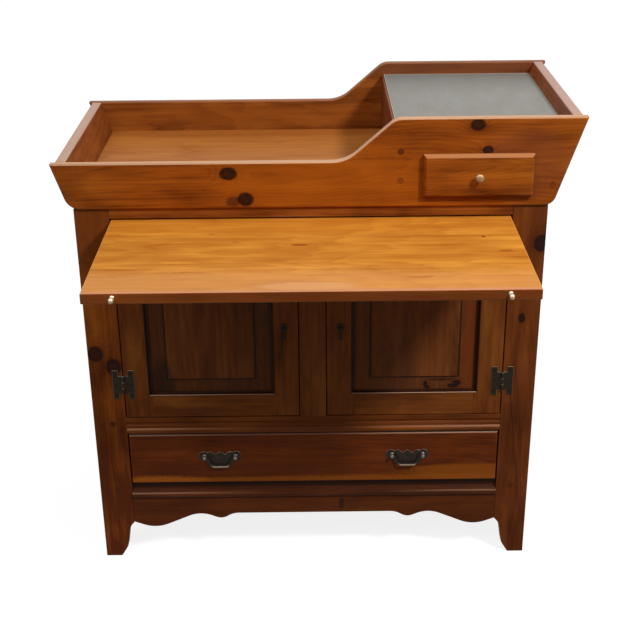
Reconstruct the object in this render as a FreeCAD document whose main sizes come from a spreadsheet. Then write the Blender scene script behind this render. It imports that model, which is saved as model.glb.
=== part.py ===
import FreeCAD, Part
import math
import os
import Sketcher

# A dry sink cabinet in pine: a case on four feet with two panelled doors over one wide drawer, a pull-out
# shelf over the doors, and on top an open tray, the sink, whose ends lean outwards. The right end of the
# tray is raised and holds a small drawer under a sheet-metal work surface.
#
# Millimetres. X to the right, Y to the back, Z up. The shelf stands drawn out, and all else is closed. The
# lines of the layout are measured from the middle of the case, on the floor. The origin is the middle of
# the whole piece's box, also on the floor, so place() moves each piece over by the way between the two.

doc = FreeCAD.newDocument("DrySinkCabinet")
NODES = []

# ---------------------------------------------------------------------------------------------------------
# Driving sizes
# ---------------------------------------------------------------------------------------------------------

SIZES = [
    # the case
    ("body_width", 900, "outside of one front leg to outside of the other"),
    ("body_depth", 460, "front of the legs to the back panel"),
    ("leg_width", 66.5, "front leg, seen from the front"),
    ("face_thickness", 22, "legs and rails of the front frame"),
    ("side_thickness", 19, "side panel"),
    ("back_thickness", 9, "back panel"),
    ("back_groove", 2, "depth of the V grooves in the back panel"),
    ("back_board", 143, "spacing of the V grooves in the back panel"),
    ("apron_top", 146, "height of the apron's upper edge"),
    ("lower_rail_height", 35.5, "rail under the wide drawer"),
    ("drawer_opening_height", 120.5, "opening for the wide drawer"),
    ("mid_rail_height", 38, "rail between the drawer and the doors"),
    ("door_opening_height", 391, "opening for the doors"),
    ("shelf_rail_height", 19.1, "rail that carries the pull-out shelf"),
    ("shelf_headroom", 3.4, "gap over the pull-out shelf"),
    ("top_rail_height", 20.2, "rail under the tray"),
    ("centre_stile_width", 53, "post between the doors"),
    ("bead_radius", 6, "half-round bead along two rails"),
    ("bead_rise", 7, "centre of the bead above the rail's lower edge"),
    ("bead_sink", 1, "centre of the bead behind the rail's face"),
    ("hollow_depth", 8, "hollow over the bead of the rail under the drawer"),
    ("hollow_foot", 12, "foot of that hollow above the rail's lower edge"),
    ("hollow_flare", 8, "height over which that hollow slopes in"),
    ("floor_thickness", 18, "cabinet floor"),
    ("panel_edge_round", 2, "softened edges of the boards"),
    # feet and apron
    ("foot_width", 33.5, "foot of a front leg on the floor"),
    ("foot_toe_width", 48, "foot at its toe, where it turns in"),
    ("foot_toe_height", 24, "height of the toe"),
    ("foot_toe_round", 25, "radius at the toe"),
    ("foot_knee_width", 55.5, "foot at its knee, under the apron"),
    ("foot_knee_drop", 13.5, "knee below the apron's end"),
    ("foot_knee_round", 25, "radius at the knee"),
    ("scallop_flat", 106, "height of the apron's flat middle"),
    ("scallop_flat_round", 40, "radius at the ends of the flat"),
    ("scallop_end_drop", 19.5, "apron's end below the flat"),
    ("scallop_low_in", 45.5, "lowest corner of the outline, in from the leg"),
    ("scallop_low_drop", 37, "that corner below the flat"),
    ("scallop_low_round", 70, "radius there"),
    ("scallop_high_past", 96, "highest corner, past the lowest"),
    ("scallop_high_rise", 4.5, "that corner above the flat"),
    ("scallop_high_round", 60, "radius there"),
    ("scallop_dip_past", 45, "small dip, past the highest corner"),
    ("scallop_dip_drop", 14.5, "that dip below the flat"),
    ("scallop_dip_round", 25, "radius there"),
    ("scallop_flat_past", 25, "end of the flat, past the dip"),
    ("side_foot", 66, "foot of a side, front to back"),
    ("side_arch", 100, "height of the arch in a side panel"),
    ("side_arch_lean", 14, "how far the arch leans in"),
    ("side_arch_round", 30, "radius in the arch"),
    # the tray
    ("board_thickness", 19, "front and back boards of the tray"),
    ("tray_overhang", 6, "how far those boards stand proud of the case"),
    ("low_rim_rise", 89, "low rim above the top of the case"),
    ("high_rim_rise", 170, "high rim above the top of the case"),
    ("end_slope", 0.3288, "how far an end leans out for each mm of height"),
    ("end_base_out", 7, "foot of a board's end, out from the case"),
    ("end_inset", 6, "end board, in from the boards' ends"),
    ("end_width", 21, "end board, measured level"),
    ("left_corner_round", 30, "radius of the boards' lower left corner"),
    ("right_corner_round", 22, "radius of the boards' lower right corner"),
    ("sweep_run", 93.1, "level run of the sweep from the low rim to the high rim"),
    ("sweep_past_wall", 1.9, "top corner of the sweep, past the compartment's wall"),
    ("sweep_low_round", 70, "radius at the foot of the sweep"),
    ("sweep_high_round", 35, "radius at the head of the sweep"),
    ("rim_round", 3.5, "rounded rims of the tray"),
    ("sink_floor_thickness", 24, "floor of the tray"),
    ("compartment_width", 273, "from the tray's right end to the compartment's wall, at the foot"),
    ("compartment_height", 107, "clear height in the compartment"),
    ("compartment_wall", 19, "thickness of the compartment's wall"),
    ("counter_board", 13, "board under the work surface"),
    ("insert_thickness", 2, "sheet metal of the work surface"),
    ("insert_margin", 4, "bare wood left of the work surface"),
    ("sheet_clearance", 0.5, "gap round the work surface"),
    # the pull-out shelf
    ("shelf_thickness", 19, "pull-out shelf"),
    ("shelf_rear_gap", 21, "gap behind the pull-out shelf when it is pushed in"),
    ("shelf_reach", 350, "how far the shelf stands out"),
    ("shelf_side_gap", 3, "gap beside the shelf"),
    ("guide_ledge", 20, "how far a guide reaches under the shelf"),
    ("stop_block_width", 40, "stop block"),
    ("stop_block_height", 15, "stop block above the shelf"),
    ("stop_block_spread", 200, "stop block from the centre line"),
    ("run_clearance", 0.3, "running clearance under what slides"),
    ("shelf_knob_in", 53, "shelf knob from the shelf's end"),
    ("shelf_knob_radius", 5, "head of a shelf knob"),
    ("shelf_knob_up", 2, "shelf knob above the middle of the shelf's edge"),
    ("shelf_knob_reach", 3.4, "reach of a shelf knob before its wood, in radii of its head"),
    ("shelf_knob_swell", 0.9, "half the thickness of a shelf knob's head, in radii"),
    ("shelf_knob_collar", 0.9, "radius of a shelf knob's collar, in radii of its head"),
    # the wide drawer
    ("drawer_gap", 2.5, "gap round the wide drawer's front"),
    ("drawer_proud", 2, "wide drawer's front beyond the legs"),
    ("drawer_front_thickness", 20, "front of the wide drawer"),
    ("drawer_front_round", 4.5, "rounded edges of that front"),
    ("drawer_wall", 12, "sides and back of the wide drawer"),
    ("drawer_side_height", 100, "sides of the wide drawer"),
    ("drawer_rear_gap", 33, "gap behind the wide drawer"),
    ("drawer_bottom_thickness", 6, "bottom of a drawer"),
    ("bottom_groove", 5, "depth of the groove that holds a bottom"),
    ("bottom_rise", 8, "drawer bottom above the lower edge of the sides"),
    ("guide_clearance", 1, "gap between a drawer and its guides"),
    ("runner_thickness", 18, "runner under the wide drawer"),
    ("runner_ledge", 25, "how far the runner reaches under the drawer"),
    ("guide_height", 40, "guide strip beside a drawer"),
    # the small drawer
    ("small_opening_width", 196, "opening for the small drawer"),
    ("small_opening_height", 76, "opening for the small drawer"),
    ("small_lip_side", 5, "front of the small drawer past its opening, at the sides"),
    ("small_lip_top", 3.5, "the same at the top"),
    ("small_lip_bottom", 2.5, "the same at the bottom"),
    ("small_front_thickness", 14, "overlaid front of the small drawer"),
    ("small_front_bevel", 5, "bevel round that front"),
    ("small_tongue", 8, "part of the front that fills the opening"),
    ("small_wall", 10, "sides and back of the small drawer"),
    ("small_side_height", 60, "sides of the small drawer"),
    ("small_rear_gap", 95, "gap behind the small drawer"),
    ("small_guide_height", 20, "guide strips on the tray's floor"),
    ("knob_radius", 8.5, "head of the small drawer's knob"),
    ("knob_reach", 1.7, "reach of the small drawer's knob before its wood, in radii"),
    ("knob_swell", 0.6, "half the thickness of that knob's head, in radii"),
    ("knob_stem", 0.45, "radius of a knob's stem, in radii of its head"),
    ("knob_collar", 0.6, "radius of that knob's collar, in radii of its head"),
    ("knob_collar_rise", 0.15, "thickness of any knob's collar, in radii of its head"),
    # the doors
    ("door_gap", 2, "gap round a door"),
    ("door_thickness", 20, "frame of a door"),
    ("door_frame_width", 55, "stiles and rails of a door"),
    ("panel_groove", 8, "depth of the groove that holds a panel"),
    ("panel_tongue", 6, "edge of a panel, and its groove's width"),
    ("panel_setback", 7, "sunk margin of a panel behind the frame's face"),
    ("panel_play", 1, "room for a panel to swell in its groove"),
    ("field_rise", 3.5, "raised field above the sunk margin"),
    ("field_margin_side", 33.5, "sunk margin beside the field"),
    ("field_margin_end", 30, "sunk margin above and below the field"),
    # inside the case
    ("inner_shelf_rise", 190, "inner shelf above the cabinet floor"),
    ("inner_shelf_thickness", 18, "inner shelf"),
    ("inner_shelf_setback", 13, "inner shelf behind the front frame"),
    ("cleat_size", 20, "cleat under the inner shelf"),
    ("rear_rail_thickness", 19, "rail under the back of the tray"),
    ("catch_width", 40, "door catch"),
    ("catch_depth", 16, "door catch"),
    ("catch_drop", 15, "door catch below its rail"),
    ("catch_gap", 0.3, "gap between a closed door and its catch"),
    ("catch_in", 14, "door catch from the centre post"),
    # the hinges
    ("hinge_height", 65, "outer bar of a hinge leaf"),
    ("hinge_waist", 40, "waist and barrel of a hinge"),
    ("hinge_reach", 22, "half the width of a hinge"),
    ("hinge_bar", 12.5, "outer bar of a leaf"),
    ("hinge_leaf", 1.6, "sheet of a leaf"),
    ("hinge_barrel", 3, "radius of the barrel"),
    ("hinge_pin", 1.5, "radius of the pin"),
    ("pin_clearance", 0.05, "radial clearance of a pin"),
    ("knuckle_gap", 0.2, "gap between knuckles"),
    ("hinge_end", 77.5, "hinge's centre from the end of the door opening"),
    ("screw_radius", 1.4, "shank of a hinge screw"),
    ("screw_length", 13, "shank of a hinge screw"),
    ("screw_head_radius", 2.8, "head of a hinge screw"),
    ("screw_head_rise", 0.9, "head above the leaf"),
    ("screw_spread", 24, "outer screws of a leaf from its middle"),
    # the door pulls
    ("pull_height", 201, "door pull's pivot above the door opening's foot"),
    ("rosette_radius", 8, "plate of a door pull"),
    ("rosette_thickness", 2, "plate of a door pull"),
    ("pull_post_radius", 2.8, "post of a door pull"),
    ("pull_post_length", 8, "post of a door pull, before its plate"),
    ("pull_pivot_out", 5, "pivot before the plate"),
    ("pull_pin_radius", 1.2, "pivot pin of the drop"),
    ("drop_arm", 1.6, "arms of the drop"),
    ("drop_arm_gap", 0.4, "gap between an arm and the post"),
    ("drop_length", 27, "drop below its pivot"),
    ("drop_radius", 3.9, "bulb of the drop"),
    ("drop_bulb_length", 15, "bulb of the drop"),
    # the pulls of the wide drawer
    ("pull_spread", 194.5, "centre of a pull from the centre line"),
    ("pull_rise", 67, "posts of a pull above the drawer opening's foot"),
    ("post_spacing", 64, "posts of a pull, centre to centre"),
    ("plate_thickness", 1.6, "back plate of a pull"),
    ("plate_lobe", 12, "rounded ends of the plate"),
    ("plate_peak", 11.5, "three peaks of the plate's upper edge, above the posts"),
    ("plate_peak_out", 20.5, "outer two of those peaks from the middle"),
    ("plate_valley", 5, "valleys between those peaks, above the posts"),
    ("plate_valley_out", 10, "valleys from the middle"),
    ("plate_shoulder", 8, "shoulder of the plate above the posts"),
    ("plate_drop", 23, "lower edge of the plate below the posts"),
    ("plate_foot", 24, "half the lower edge of the plate"),
    ("post_radius", 4, "post of a pull"),
    ("post_length", 10, "post of a pull, before its plate"),
    ("bail_pivot_out", 6, "bail's pivot before the plate"),
    ("bail_radius", 1.7, "rod of a bail"),
    ("bail_pin_past", 5, "end of the bail past the post's centre"),
    ("bail_shoulder_gap", 3, "top of the bail's arm, in from the post"),
    ("bail_foot", 16, "arm of the bail at its foot, from the middle"),
    ("bail_drop", 22, "foot of the bail below its pivot"),
    ("bail_shoulder_round", 4, "radius of the bail's upper bends"),
    ("bail_foot_round", 8, "radius of the bail's lower bends"),
]

dims = doc.addObject("Spreadsheet::Sheet", "dims")
for row, (alias, value, meaning) in enumerate(SIZES, 1):
    dims.set(f"A{row}", str(value))
    dims.setAlias(f"A{row}", alias)
    dims.set(f"B{row}", meaning)

# ---------------------------------------------------------------------------------------------------------
# Lines of the layout, worked out from the driving sizes
# ---------------------------------------------------------------------------------------------------------

LINES = [
    # across
    ("half_width", "dims.body_width / 2"),
    ("side_inner", "lay.half_width - dims.side_thickness"),
    ("open_half", "lay.half_width - dims.leg_width"),
    # front to back
    ("front", "-dims.body_depth / 2"),
    ("frame_back", "lay.front + dims.face_thickness"),
    ("rear", "dims.body_depth / 2"),
    ("back_inner", "lay.rear - dims.back_thickness"),
    ("rear_rail_front", "lay.back_inner - dims.rear_rail_thickness"),
    # up the case
    ("drawer_low", "dims.apron_top + dims.lower_rail_height"),
    ("apron_end", "dims.scallop_flat - dims.scallop_end_drop"),
    ("drawer_high", "lay.drawer_low + dims.drawer_opening_height"),
    ("door_low", "lay.drawer_high + dims.mid_rail_height"),
    ("door_high", "lay.door_low + dims.door_opening_height"),
    ("slot_low", "lay.door_high + dims.shelf_rail_height"),
    ("shelf_low", "lay.slot_low + dims.run_clearance"),
    ("shelf_high", "lay.shelf_low + dims.shelf_thickness"),
    ("slot_high", "lay.shelf_high + dims.shelf_headroom"),
    ("case_top", "lay.slot_high + dims.top_rail_height"),
    ("inner_shelf_low", "lay.door_low + dims.inner_shelf_rise"),
    # the tray
    ("tray_front", "lay.front - dims.tray_overhang"),
    ("tray_front_inner", "lay.tray_front + dims.board_thickness"),
    ("tray_back", "lay.rear + dims.tray_overhang"),
    ("tray_back_inner", "lay.tray_back - dims.board_thickness"),
    ("low_rim", "lay.case_top + dims.low_rim_rise"),
    ("high_rim", "lay.case_top + dims.high_rim_rise"),
    ("end_base", "lay.half_width + dims.end_base_out"),
    ("end_outer", "lay.end_base - dims.end_inset"),
    ("end_inner", "lay.end_outer - dims.end_width"),
    ("well", "lay.case_top + dims.sink_floor_thickness"),
    ("counter_low", "lay.well + dims.compartment_height"),
    ("counter_high", "lay.counter_low + dims.counter_board"),
    ("wall_x", "lay.end_inner - dims.compartment_width"),
    ("sweep_high_x", "lay.wall_x + dims.sweep_past_wall"),
    ("sweep_low_x", "lay.sweep_high_x - dims.sweep_run"),
    # the small drawer, midway between the compartment's wall and the leaning end
    ("small_mid_z", "lay.well + dims.small_opening_height / 2"),
    ("small_end_x", "lay.end_inner + (lay.small_mid_z - lay.case_top) * dims.end_slope"),
    ("small_x", "(lay.wall_x + dims.compartment_wall + lay.small_end_x) / 2"),
    ("small_low_x", "lay.small_x - dims.small_opening_width / 2"),
    ("small_back", "lay.tray_front - dims.run_clearance + dims.small_tongue"),
    ("small_depth", "lay.tray_back_inner - dims.small_rear_gap - lay.small_back"),
    # the pull-out shelf
    ("shelf_half", "lay.open_half - dims.shelf_side_gap"),
    ("shelf_front", "lay.front - dims.shelf_reach"),
    ("shelf_depth", "lay.back_inner - dims.shelf_rear_gap - lay.front"),
    ("shelf_mid_z", "(lay.shelf_low + lay.shelf_high) / 2"),
    # the wide drawer
    ("drawer_half", "lay.open_half - dims.drawer_gap"),
    ("drawer_front", "lay.front - dims.drawer_proud"),
    ("drawer_back", "lay.drawer_front + dims.drawer_front_thickness"),
    ("drawer_depth", "lay.back_inner - dims.drawer_rear_gap - lay.drawer_back"),
    ("drawer_box_half", "lay.open_half - dims.guide_clearance"),
    ("drawer_box_low", "lay.drawer_low + dims.run_clearance"),
    ("pull_z", "lay.drawer_low + dims.pull_rise"),
    ("bail_y", "lay.drawer_front - dims.plate_thickness - dims.bail_pivot_out"),
    # the doors, whose hinge line runs in the middle of the gap beside the leg
    ("door_outer", "lay.open_half - dims.door_gap"),
    ("door_inner", "dims.centre_stile_width / 2 + dims.door_gap"),
    ("door_foot", "lay.door_low + dims.door_gap"),
    ("door_head", "lay.door_high - dims.door_gap"),
    ("hinge_x", "lay.open_half - dims.door_gap / 2"),
    ("hinge_y", "lay.front - dims.hinge_barrel"),
    ("field_low_x", "lay.door_inner + dims.door_frame_width + dims.field_margin_side"),
    ("field_high_x", "lay.door_outer - dims.door_frame_width - dims.field_margin_side"),
    ("tongue_y", "lay.front + dims.panel_setback"),
    ("pull_x", "lay.door_inner + dims.door_frame_width / 2"),
    ("drop_z", "lay.door_low + dims.pull_height"),
    ("drop_y", "lay.front - dims.rosette_thickness - dims.pull_pivot_out"),
    # the middle of the whole piece's box, from the tray's ends, its back, and the shelf's knobs
    ("middle_x", "(dims.high_rim_rise - dims.low_rim_rise) * dims.end_slope / 2"),
    ("middle_y", "(lay.tray_back + lay.shelf_front - dims.shelf_knob_radius * dims.shelf_knob_reach) / 2"),
]

lay = doc.addObject("Spreadsheet::Sheet", "lay")
for row, (alias, formula) in enumerate(LINES, 1):
    lay.setAlias(f"A{row}", alias)
for row, (alias, formula) in enumerate(LINES, 1):
    lay.set(f"A{row}", "=" + formula.replace("lay.", ""))
doc.recompute()

# ---------------------------------------------------------------------------------------------------------
# Helpers. A size or a place is always an expression over the two sheets.
# ---------------------------------------------------------------------------------------------------------

LEFT, RIGHT = -1, 1
SIDES = {LEFT: "left", RIGHT: "right"}
ALONG = {
    "x": FreeCAD.Rotation(FreeCAD.Vector(0, 1, 0), 90),
    "y": FreeCAD.Rotation(FreeCAD.Vector(1, 0, 0), -90),
    "z": FreeCAD.Rotation(),
}


def keep(piece, label):
    """Names a finished piece and puts it on the list of files."""
    piece.Label = label
    NODES.append(piece)
    return piece


def number(expression):
    """The present value of an expression."""
    return float(lay.evalExpression(expression))


def place(piece, at):
    for axis, expression, middle in zip("xyz", at, ("lay.middle_x", "lay.middle_y", "0")):
        piece.setExpression("Placement.Base." + axis, f"{expression} - {middle}")
    return piece


def board(name, low, size):
    """A plain board from its low corner and its sizes along X, Y and Z."""
    piece = doc.addObject("Part::Box", name)
    for prop, expression in zip(("Length", "Width", "Height"), size):
        piece.setExpression(prop, expression)
    return place(piece, low)


def rod(name, axis, start, radius, length):
    """A round bar from its start along +X, +Y or +Z."""
    piece = doc.addObject("Part::Cylinder", name)
    piece.Placement = FreeCAD.Placement(FreeCAD.Vector(), ALONG[axis])
    piece.setExpression("Radius", radius)
    piece.setExpression("Height", length)
    return place(piece, start)


def cone(name, start, radius, tip_radius, length):
    """A frustum that narrows along -Y."""
    piece = doc.addObject("Part::Cone", name)
    piece.Placement = FreeCAD.Placement(FreeCAD.Vector(), FreeCAD.Rotation(FreeCAD.Vector(1, 0, 0), 90))
    piece.setExpression("Radius1", radius)
    piece.setExpression("Radius2", tip_radius)
    piece.setExpression("Height", length)
    return place(piece, start)


def bulb(name, centre, radii):
    """An ellipsoid from its radii along X, Y and Z."""
    piece = doc.addObject("Part::Ellipsoid", name)
    for prop, expression in zip(("Radius2", "Radius3", "Radius1"), radii):
        piece.setExpression(prop, expression)
    return place(piece, centre)


def joined(name, pieces):
    piece = doc.addObject("Part::MultiFuse", name)
    piece.Shapes = pieces
    return piece


def cut(name, base, tool):
    piece = doc.addObject("Part::Cut", name)
    piece.Base = base
    piece.Tool = tool
    return piece


def group(name, pieces):
    piece = doc.addObject("Part::Compound", name)
    piece.Links = pieces
    return piece


def span(side, near, far):
    """Low end and length, along X, of what lies between two distances from the centre line."""
    low = f"-({far})" if side == LEFT else near
    return low, f"({far}) - ({near})"


def mirrored(side, expression):
    return f"-({expression})" if side == LEFT else expression


def origin_plane(body, role):
    return next(feature for feature in body.Origin.OriginFeatures if feature.Role == role)


def outline(body, role, corners):
    """A closed sketch of straight lines through its corners, each a pair of expressions."""
    sketch = body.newObject("Sketcher::SketchObject", body.Name + "_outline")
    sketch.AttachmentSupport = [(origin_plane(body, role), "")]
    sketch.MapMode = "FlatFace"
    points = [FreeCAD.Vector(number(u), number(v), 0) for u, v in corners]
    count = len(points)
    for i in range(count):
        sketch.addGeometry(Part.LineSegment(points[i], points[(i + 1) % count]), False)
    for i in range(count):
        sketch.addConstraint(Sketcher.Constraint("Coincident", i, 2, (i + 1) % count, 1))
    for i, corner in enumerate(corners):
        for kind, axis, expression in (("DistanceX", -2, corner[0]), ("DistanceY", -1, corner[1])):
            if expression == "0":
                sketch.addConstraint(Sketcher.Constraint("PointOnObject", i, 1, axis))
                continue
            row = sketch.addConstraint(Sketcher.Constraint(kind, -1, 1, i, 1, number(expression)))
            sketch.setExpression(f"Constraints[{row}]", expression)
    return sketch


def pad(body, sketch, length, backwards=False):
    feature = body.newObject("PartDesign::Pad", body.Name + "_pad")
    feature.Profile = sketch
    feature.Reversed = backwards
    feature.setExpression("Length", length)
    sketch.Visibility = False
    return feature


def cut_board(name, corners, rear, thickness):
    """A board cut to an outline seen from the front, from the Y of its rear face and its thickness."""
    body = doc.addObject("PartDesign::Body", name)
    pad(body, outline(body, "XZ_Plane", corners), thickness)
    return place(body, ("0", rear, "0"))


def round_edges(body, wanted, radius):
    """Rounds the edges of the body's last feature that wanted accepts."""
    doc.recompute()
    base = body.Tip
    names = [f"Edge{i}" for i, edge in enumerate(base.Shape.Edges, 1) if wanted(edge)]
    feature = body.newObject("PartDesign::Fillet", body.Name + "_round")
    feature.Base = (base, names)
    feature.setExpression("Radius", radius)
    return feature


def corner_at(*corners):
    """Accepts the edges that run through the board at corners of its outline."""
    spots = [(number(x), number(z)) for x, z in corners]

    def wanted(edge):
        low, high = edge.Vertexes[0].Point, edge.Vertexes[-1].Point
        if abs(low.x - high.x) + abs(low.z - high.z) > 1e-6:
            return False
        return any(abs(low.x - x) + abs(low.z - z) < 1e-3 for x, z in spots)

    return wanted


def softened(name, low, size, radius, wanted):
    """A board with some of its edges rounded. wanted sees an edge's box and the board's sizes."""
    body = doc.addObject("PartDesign::Body", name)
    box = body.newObject("PartDesign::AdditiveBox", name + "_box")
    for prop, expression in zip(("Length", "Width", "Height"), size):
        box.setExpression(prop, expression)
    place(body, low)
    lengths = [number(expression) for expression in size]
    round_edges(body, lambda edge: wanted(edge.BoundBox, *lengths), radius)
    return body


# ---------------------------------------------------------------------------------------------------------
# Hinges: H-shaped leaves, three knuckles and a loose pin, with round-headed screws into the wood
# ---------------------------------------------------------------------------------------------------------

HINGES = {"low": "(lay.door_low + dims.hinge_end)", "high": "(lay.door_high - dims.hinge_end)"}
KNUCKLE = "((dims.hinge_waist - 2 * dims.knuckle_gap) / 3)"
SCREW_HEIGHTS = ("-dims.screw_spread", "0", "dims.screw_spread")


def hinge_screws(name, side, towards_leg):
    """The screws of both leaves on the leg, or on the door, at one side of the case."""
    out = "1" if towards_leg else "-1"
    reach = f"(lay.hinge_x + {out} * (dims.hinge_reach - dims.hinge_bar / 2))"
    x = mirrored(side, reach)
    screws = []
    for level, height in HINGES.items():
        for i, rise in enumerate(SCREW_HEIGHTS):
            tag = f"{name}_{level}_{i}"
            z = f"{height} + {rise}"
            shank = rod(tag + "_shank", "y", (x, "lay.front - dims.hinge_leaf", z),
                        "dims.screw_radius", "dims.screw_length")
            head = cone(tag + "_head", (x, "lay.front - dims.hinge_leaf", z),
                        "dims.screw_head_radius", "dims.screw_radius", "dims.screw_head_rise")
            screws.append(joined(tag, [shank, head]))
    return screws


def hinge_leaf(name, side, height, towards_leg, screws):
    """One leaf with its knuckles: two knuckles on the leg's leaf, one between them on the door's."""
    way = side if towards_leg else -side
    axis = mirrored(side, "lay.hinge_x")
    face = "lay.front - dims.hinge_leaf"
    bar_near = "(dims.hinge_reach - dims.hinge_bar)"
    clear = "(dims.hinge_barrel + dims.knuckle_gap)"

    def plate(tag, near, far, low, tall):
        start = f"{axis} - ({far})" if way == LEFT else f"{axis} + ({near})"
        return board(f"{name}_{tag}", (start, face, low), (f"({far}) - ({near})", "dims.hinge_leaf", tall))

    waist_low = f"{height} - dims.hinge_waist / 2"
    pieces = [
        plate("bar", bar_near, "dims.hinge_reach", f"{height} - dims.hinge_height / 2", "dims.hinge_height"),
        plate("waist", clear, bar_near, waist_low, "dims.hinge_waist"),
    ]
    steps = (0, 2) if towards_leg else (1,)
    bores = []
    for step in steps:
        low = f"{waist_low} + {step} * ({KNUCKLE} + dims.knuckle_gap)"
        pieces.append(plate(f"wrap_{step}", "0", clear, low, KNUCKLE))
        pieces.append(rod(f"{name}_knuckle_{step}", "z", (axis, "lay.hinge_y", low),
                          "dims.hinge_barrel", KNUCKLE))
    bores.append(rod(f"{name}_bore", "z", (axis, "lay.hinge_y", waist_low),
                     "dims.hinge_pin + dims.pin_clearance", "dims.hinge_waist"))
    whole = joined(name + "_whole", pieces)
    return cut(name, whole, group(name + "_holes", bores + screws))


def hinge_set(side, towards_leg):
    """Both leaves and all their screws at one side, on the leg or on the door."""
    place_name = "leg" if towards_leg else "door"
    name = f"{SIDES[side]}_{place_name}_hinge"
    screws = hinge_screws(name + "_screw", side, towards_leg)
    per_leaf = len(SCREW_HEIGHTS)
    leaves = []
    for i, (level, height) in enumerate(HINGES.items()):
        own = screws[i * per_leaf:(i + 1) * per_leaf]
        leaves.append(hinge_leaf(f"{name}_{level}", side, height, towards_leg, own))
    return leaves, screws


leg_leaves, leg_screws = {}, {}
door_leaves, door_screws = {}, {}
for side in SIDES:
    leg_leaves[side], leg_screws[side] = hinge_set(side, True)
    door_leaves[side], door_screws[side] = hinge_set(side, False)
keep(group("leg_leaf_set", leg_leaves[LEFT] + leg_leaves[RIGHT]), "leg_hinge_leaves")
keep(group("leg_screw_set", leg_screws[LEFT] + leg_screws[RIGHT]), "leg_hinge_screws")

pins = []
for side in SIDES:
    for level, height in HINGES.items():
        start = (mirrored(side, "lay.hinge_x"), "lay.hinge_y", f"{height} - dims.hinge_waist / 2")
        pins.append(rod(f"{SIDES[side]}_pin_{level}", "z", start, "dims.hinge_pin", "dims.hinge_waist"))
keep(group("pin_set", pins), "hinge_pins")

# ---------------------------------------------------------------------------------------------------------
# The case
# ---------------------------------------------------------------------------------------------------------

# Front legs: one board each from the floor to the tray, the foot cut to a bracket on its inner side.
for side in SIDES:
    name = f"front_{SIDES[side]}_leg"
    knee = (mirrored(side, "lay.half_width - dims.foot_knee_width"), "lay.apron_end - dims.foot_knee_drop")
    toe = (mirrored(side, "lay.half_width - dims.foot_toe_width"), "dims.foot_toe_height")
    corners = [
        (mirrored(side, "lay.half_width"), "0"),
        (mirrored(side, "lay.half_width"), "lay.case_top"),
        (mirrored(side, "lay.open_half"), "lay.case_top"),
        (mirrored(side, "lay.open_half"), "lay.apron_end"),
        knee,
        toe,
        (mirrored(side, "lay.half_width - dims.foot_width"), "0"),
    ]
    blank = cut_board(name + "_blank", corners, "lay.frame_back", "dims.face_thickness")
    round_edges(blank, corner_at(knee), "dims.foot_knee_round")
    round_edges(blank, corner_at(toe), "dims.foot_toe_round")
    outer, face = number(corners[0][0]), -number("dims.face_thickness")
    round_edges(blank, lambda edge: abs(edge.BoundBox.XMin - outer) + abs(edge.BoundBox.XMax - outer) < 1e-3
                and edge.BoundBox.ZLength > 1 and abs(edge.BoundBox.YMax - face) < 1e-3,
                "dims.panel_edge_round")
    keep(cut(name + "_bored", blank, group(name + "_screw_holes", leg_screws[side])), name)

# Side panels: full depth behind the legs, with an arch between the front foot and the rear foot.
for side in SIDES:
    name = f"{SIDES[side]}_side_panel"
    body = doc.addObject("PartDesign::Body", name + "_body")
    front_knee = "lay.front + dims.side_foot + dims.side_arch_lean"
    rear_knee = "lay.rear - dims.side_foot - dims.side_arch_lean"
    corners = [
        ("lay.frame_back", "0"),
        ("lay.front + dims.side_foot", "0"),
        (front_knee, "dims.side_arch"),
        (rear_knee, "dims.side_arch"),
        ("lay.rear - dims.side_foot", "0"),
        ("lay.rear", "0"),
        ("lay.rear", "lay.case_top"),
        ("lay.frame_back", "lay.case_top"),
    ]
    pad(body, outline(body, "YZ_Plane", corners), "dims.side_thickness")
    arch = number("dims.side_arch")
    round_edges(body, lambda edge: edge.BoundBox.ZLength < 1e-3 and edge.BoundBox.YLength < 1e-3
                and abs(edge.BoundBox.ZMin - arch) < 1e-3, "dims.side_arch_round")
    low, _ = span(side, "lay.side_inner", "lay.half_width")
    keep(place(body, (low, "0", "0")), name)

# Back panel: matched boards with V joints, between the side panels.
back = board("back_blank", ("-lay.side_inner", "lay.back_inner", "dims.apron_top"),
             ("2 * lay.side_inner", "dims.back_thickness", "lay.case_top - dims.apron_top"))
grooves = []
for i in (-2, -1, 0, 1, 2):
    groove = doc.addObject("Part::Box", f"back_groove_{i + 2}")
    groove.Placement.Rotation = FreeCAD.Rotation(FreeCAD.Vector(0, 0, 1), 45)
    groove.setExpression("Length", "dims.back_groove * 1.414")
    groove.setExpression("Width", "dims.back_groove * 1.414")
    groove.setExpression("Height", "lay.case_top")
    place(groove, (f"{i} * dims.back_board", "lay.rear - dims.back_groove", "0"))
    grooves.append(groove)
keep(cut("back_grooved", back, group("back_grooves", grooves)), "back_panel")

# Rails and the post of the front frame. Two rails carry a half-round bead.
RAIL_LOW, RAIL_SIZE = "-lay.open_half", "2 * lay.open_half"


def rail(name, low, height):
    return board(name, (RAIL_LOW, "lay.front", low), (RAIL_SIZE, "dims.face_thickness", height))


def hollow_rail(name, low, height):
    """A rail whose face is set back over its foot, as a board with a moulded front."""
    body = doc.addObject("PartDesign::Body", name)
    hollow = "lay.front + dims.hollow_depth"
    corners = [
        ("lay.front", low),
        ("lay.front", f"{low} + dims.hollow_foot"),
        (hollow, f"{low} + dims.hollow_foot + dims.hollow_flare"),
        (hollow, f"{low} + {height}"),
        ("lay.frame_back", f"{low} + {height}"),
        ("lay.frame_back", low),
    ]
    pad(body, outline(body, "YZ_Plane", corners), RAIL_SIZE)
    return place(body, (RAIL_LOW, "0", "0"))


def beaded(name, blank, low):
    start = (RAIL_LOW, "lay.front + dims.bead_sink", f"{low} + dims.bead_rise")
    bead = rod(name + "_bead", "x", start, "dims.bead_radius", RAIL_SIZE)
    return joined(name + "_beaded", [blank, bead])


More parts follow.
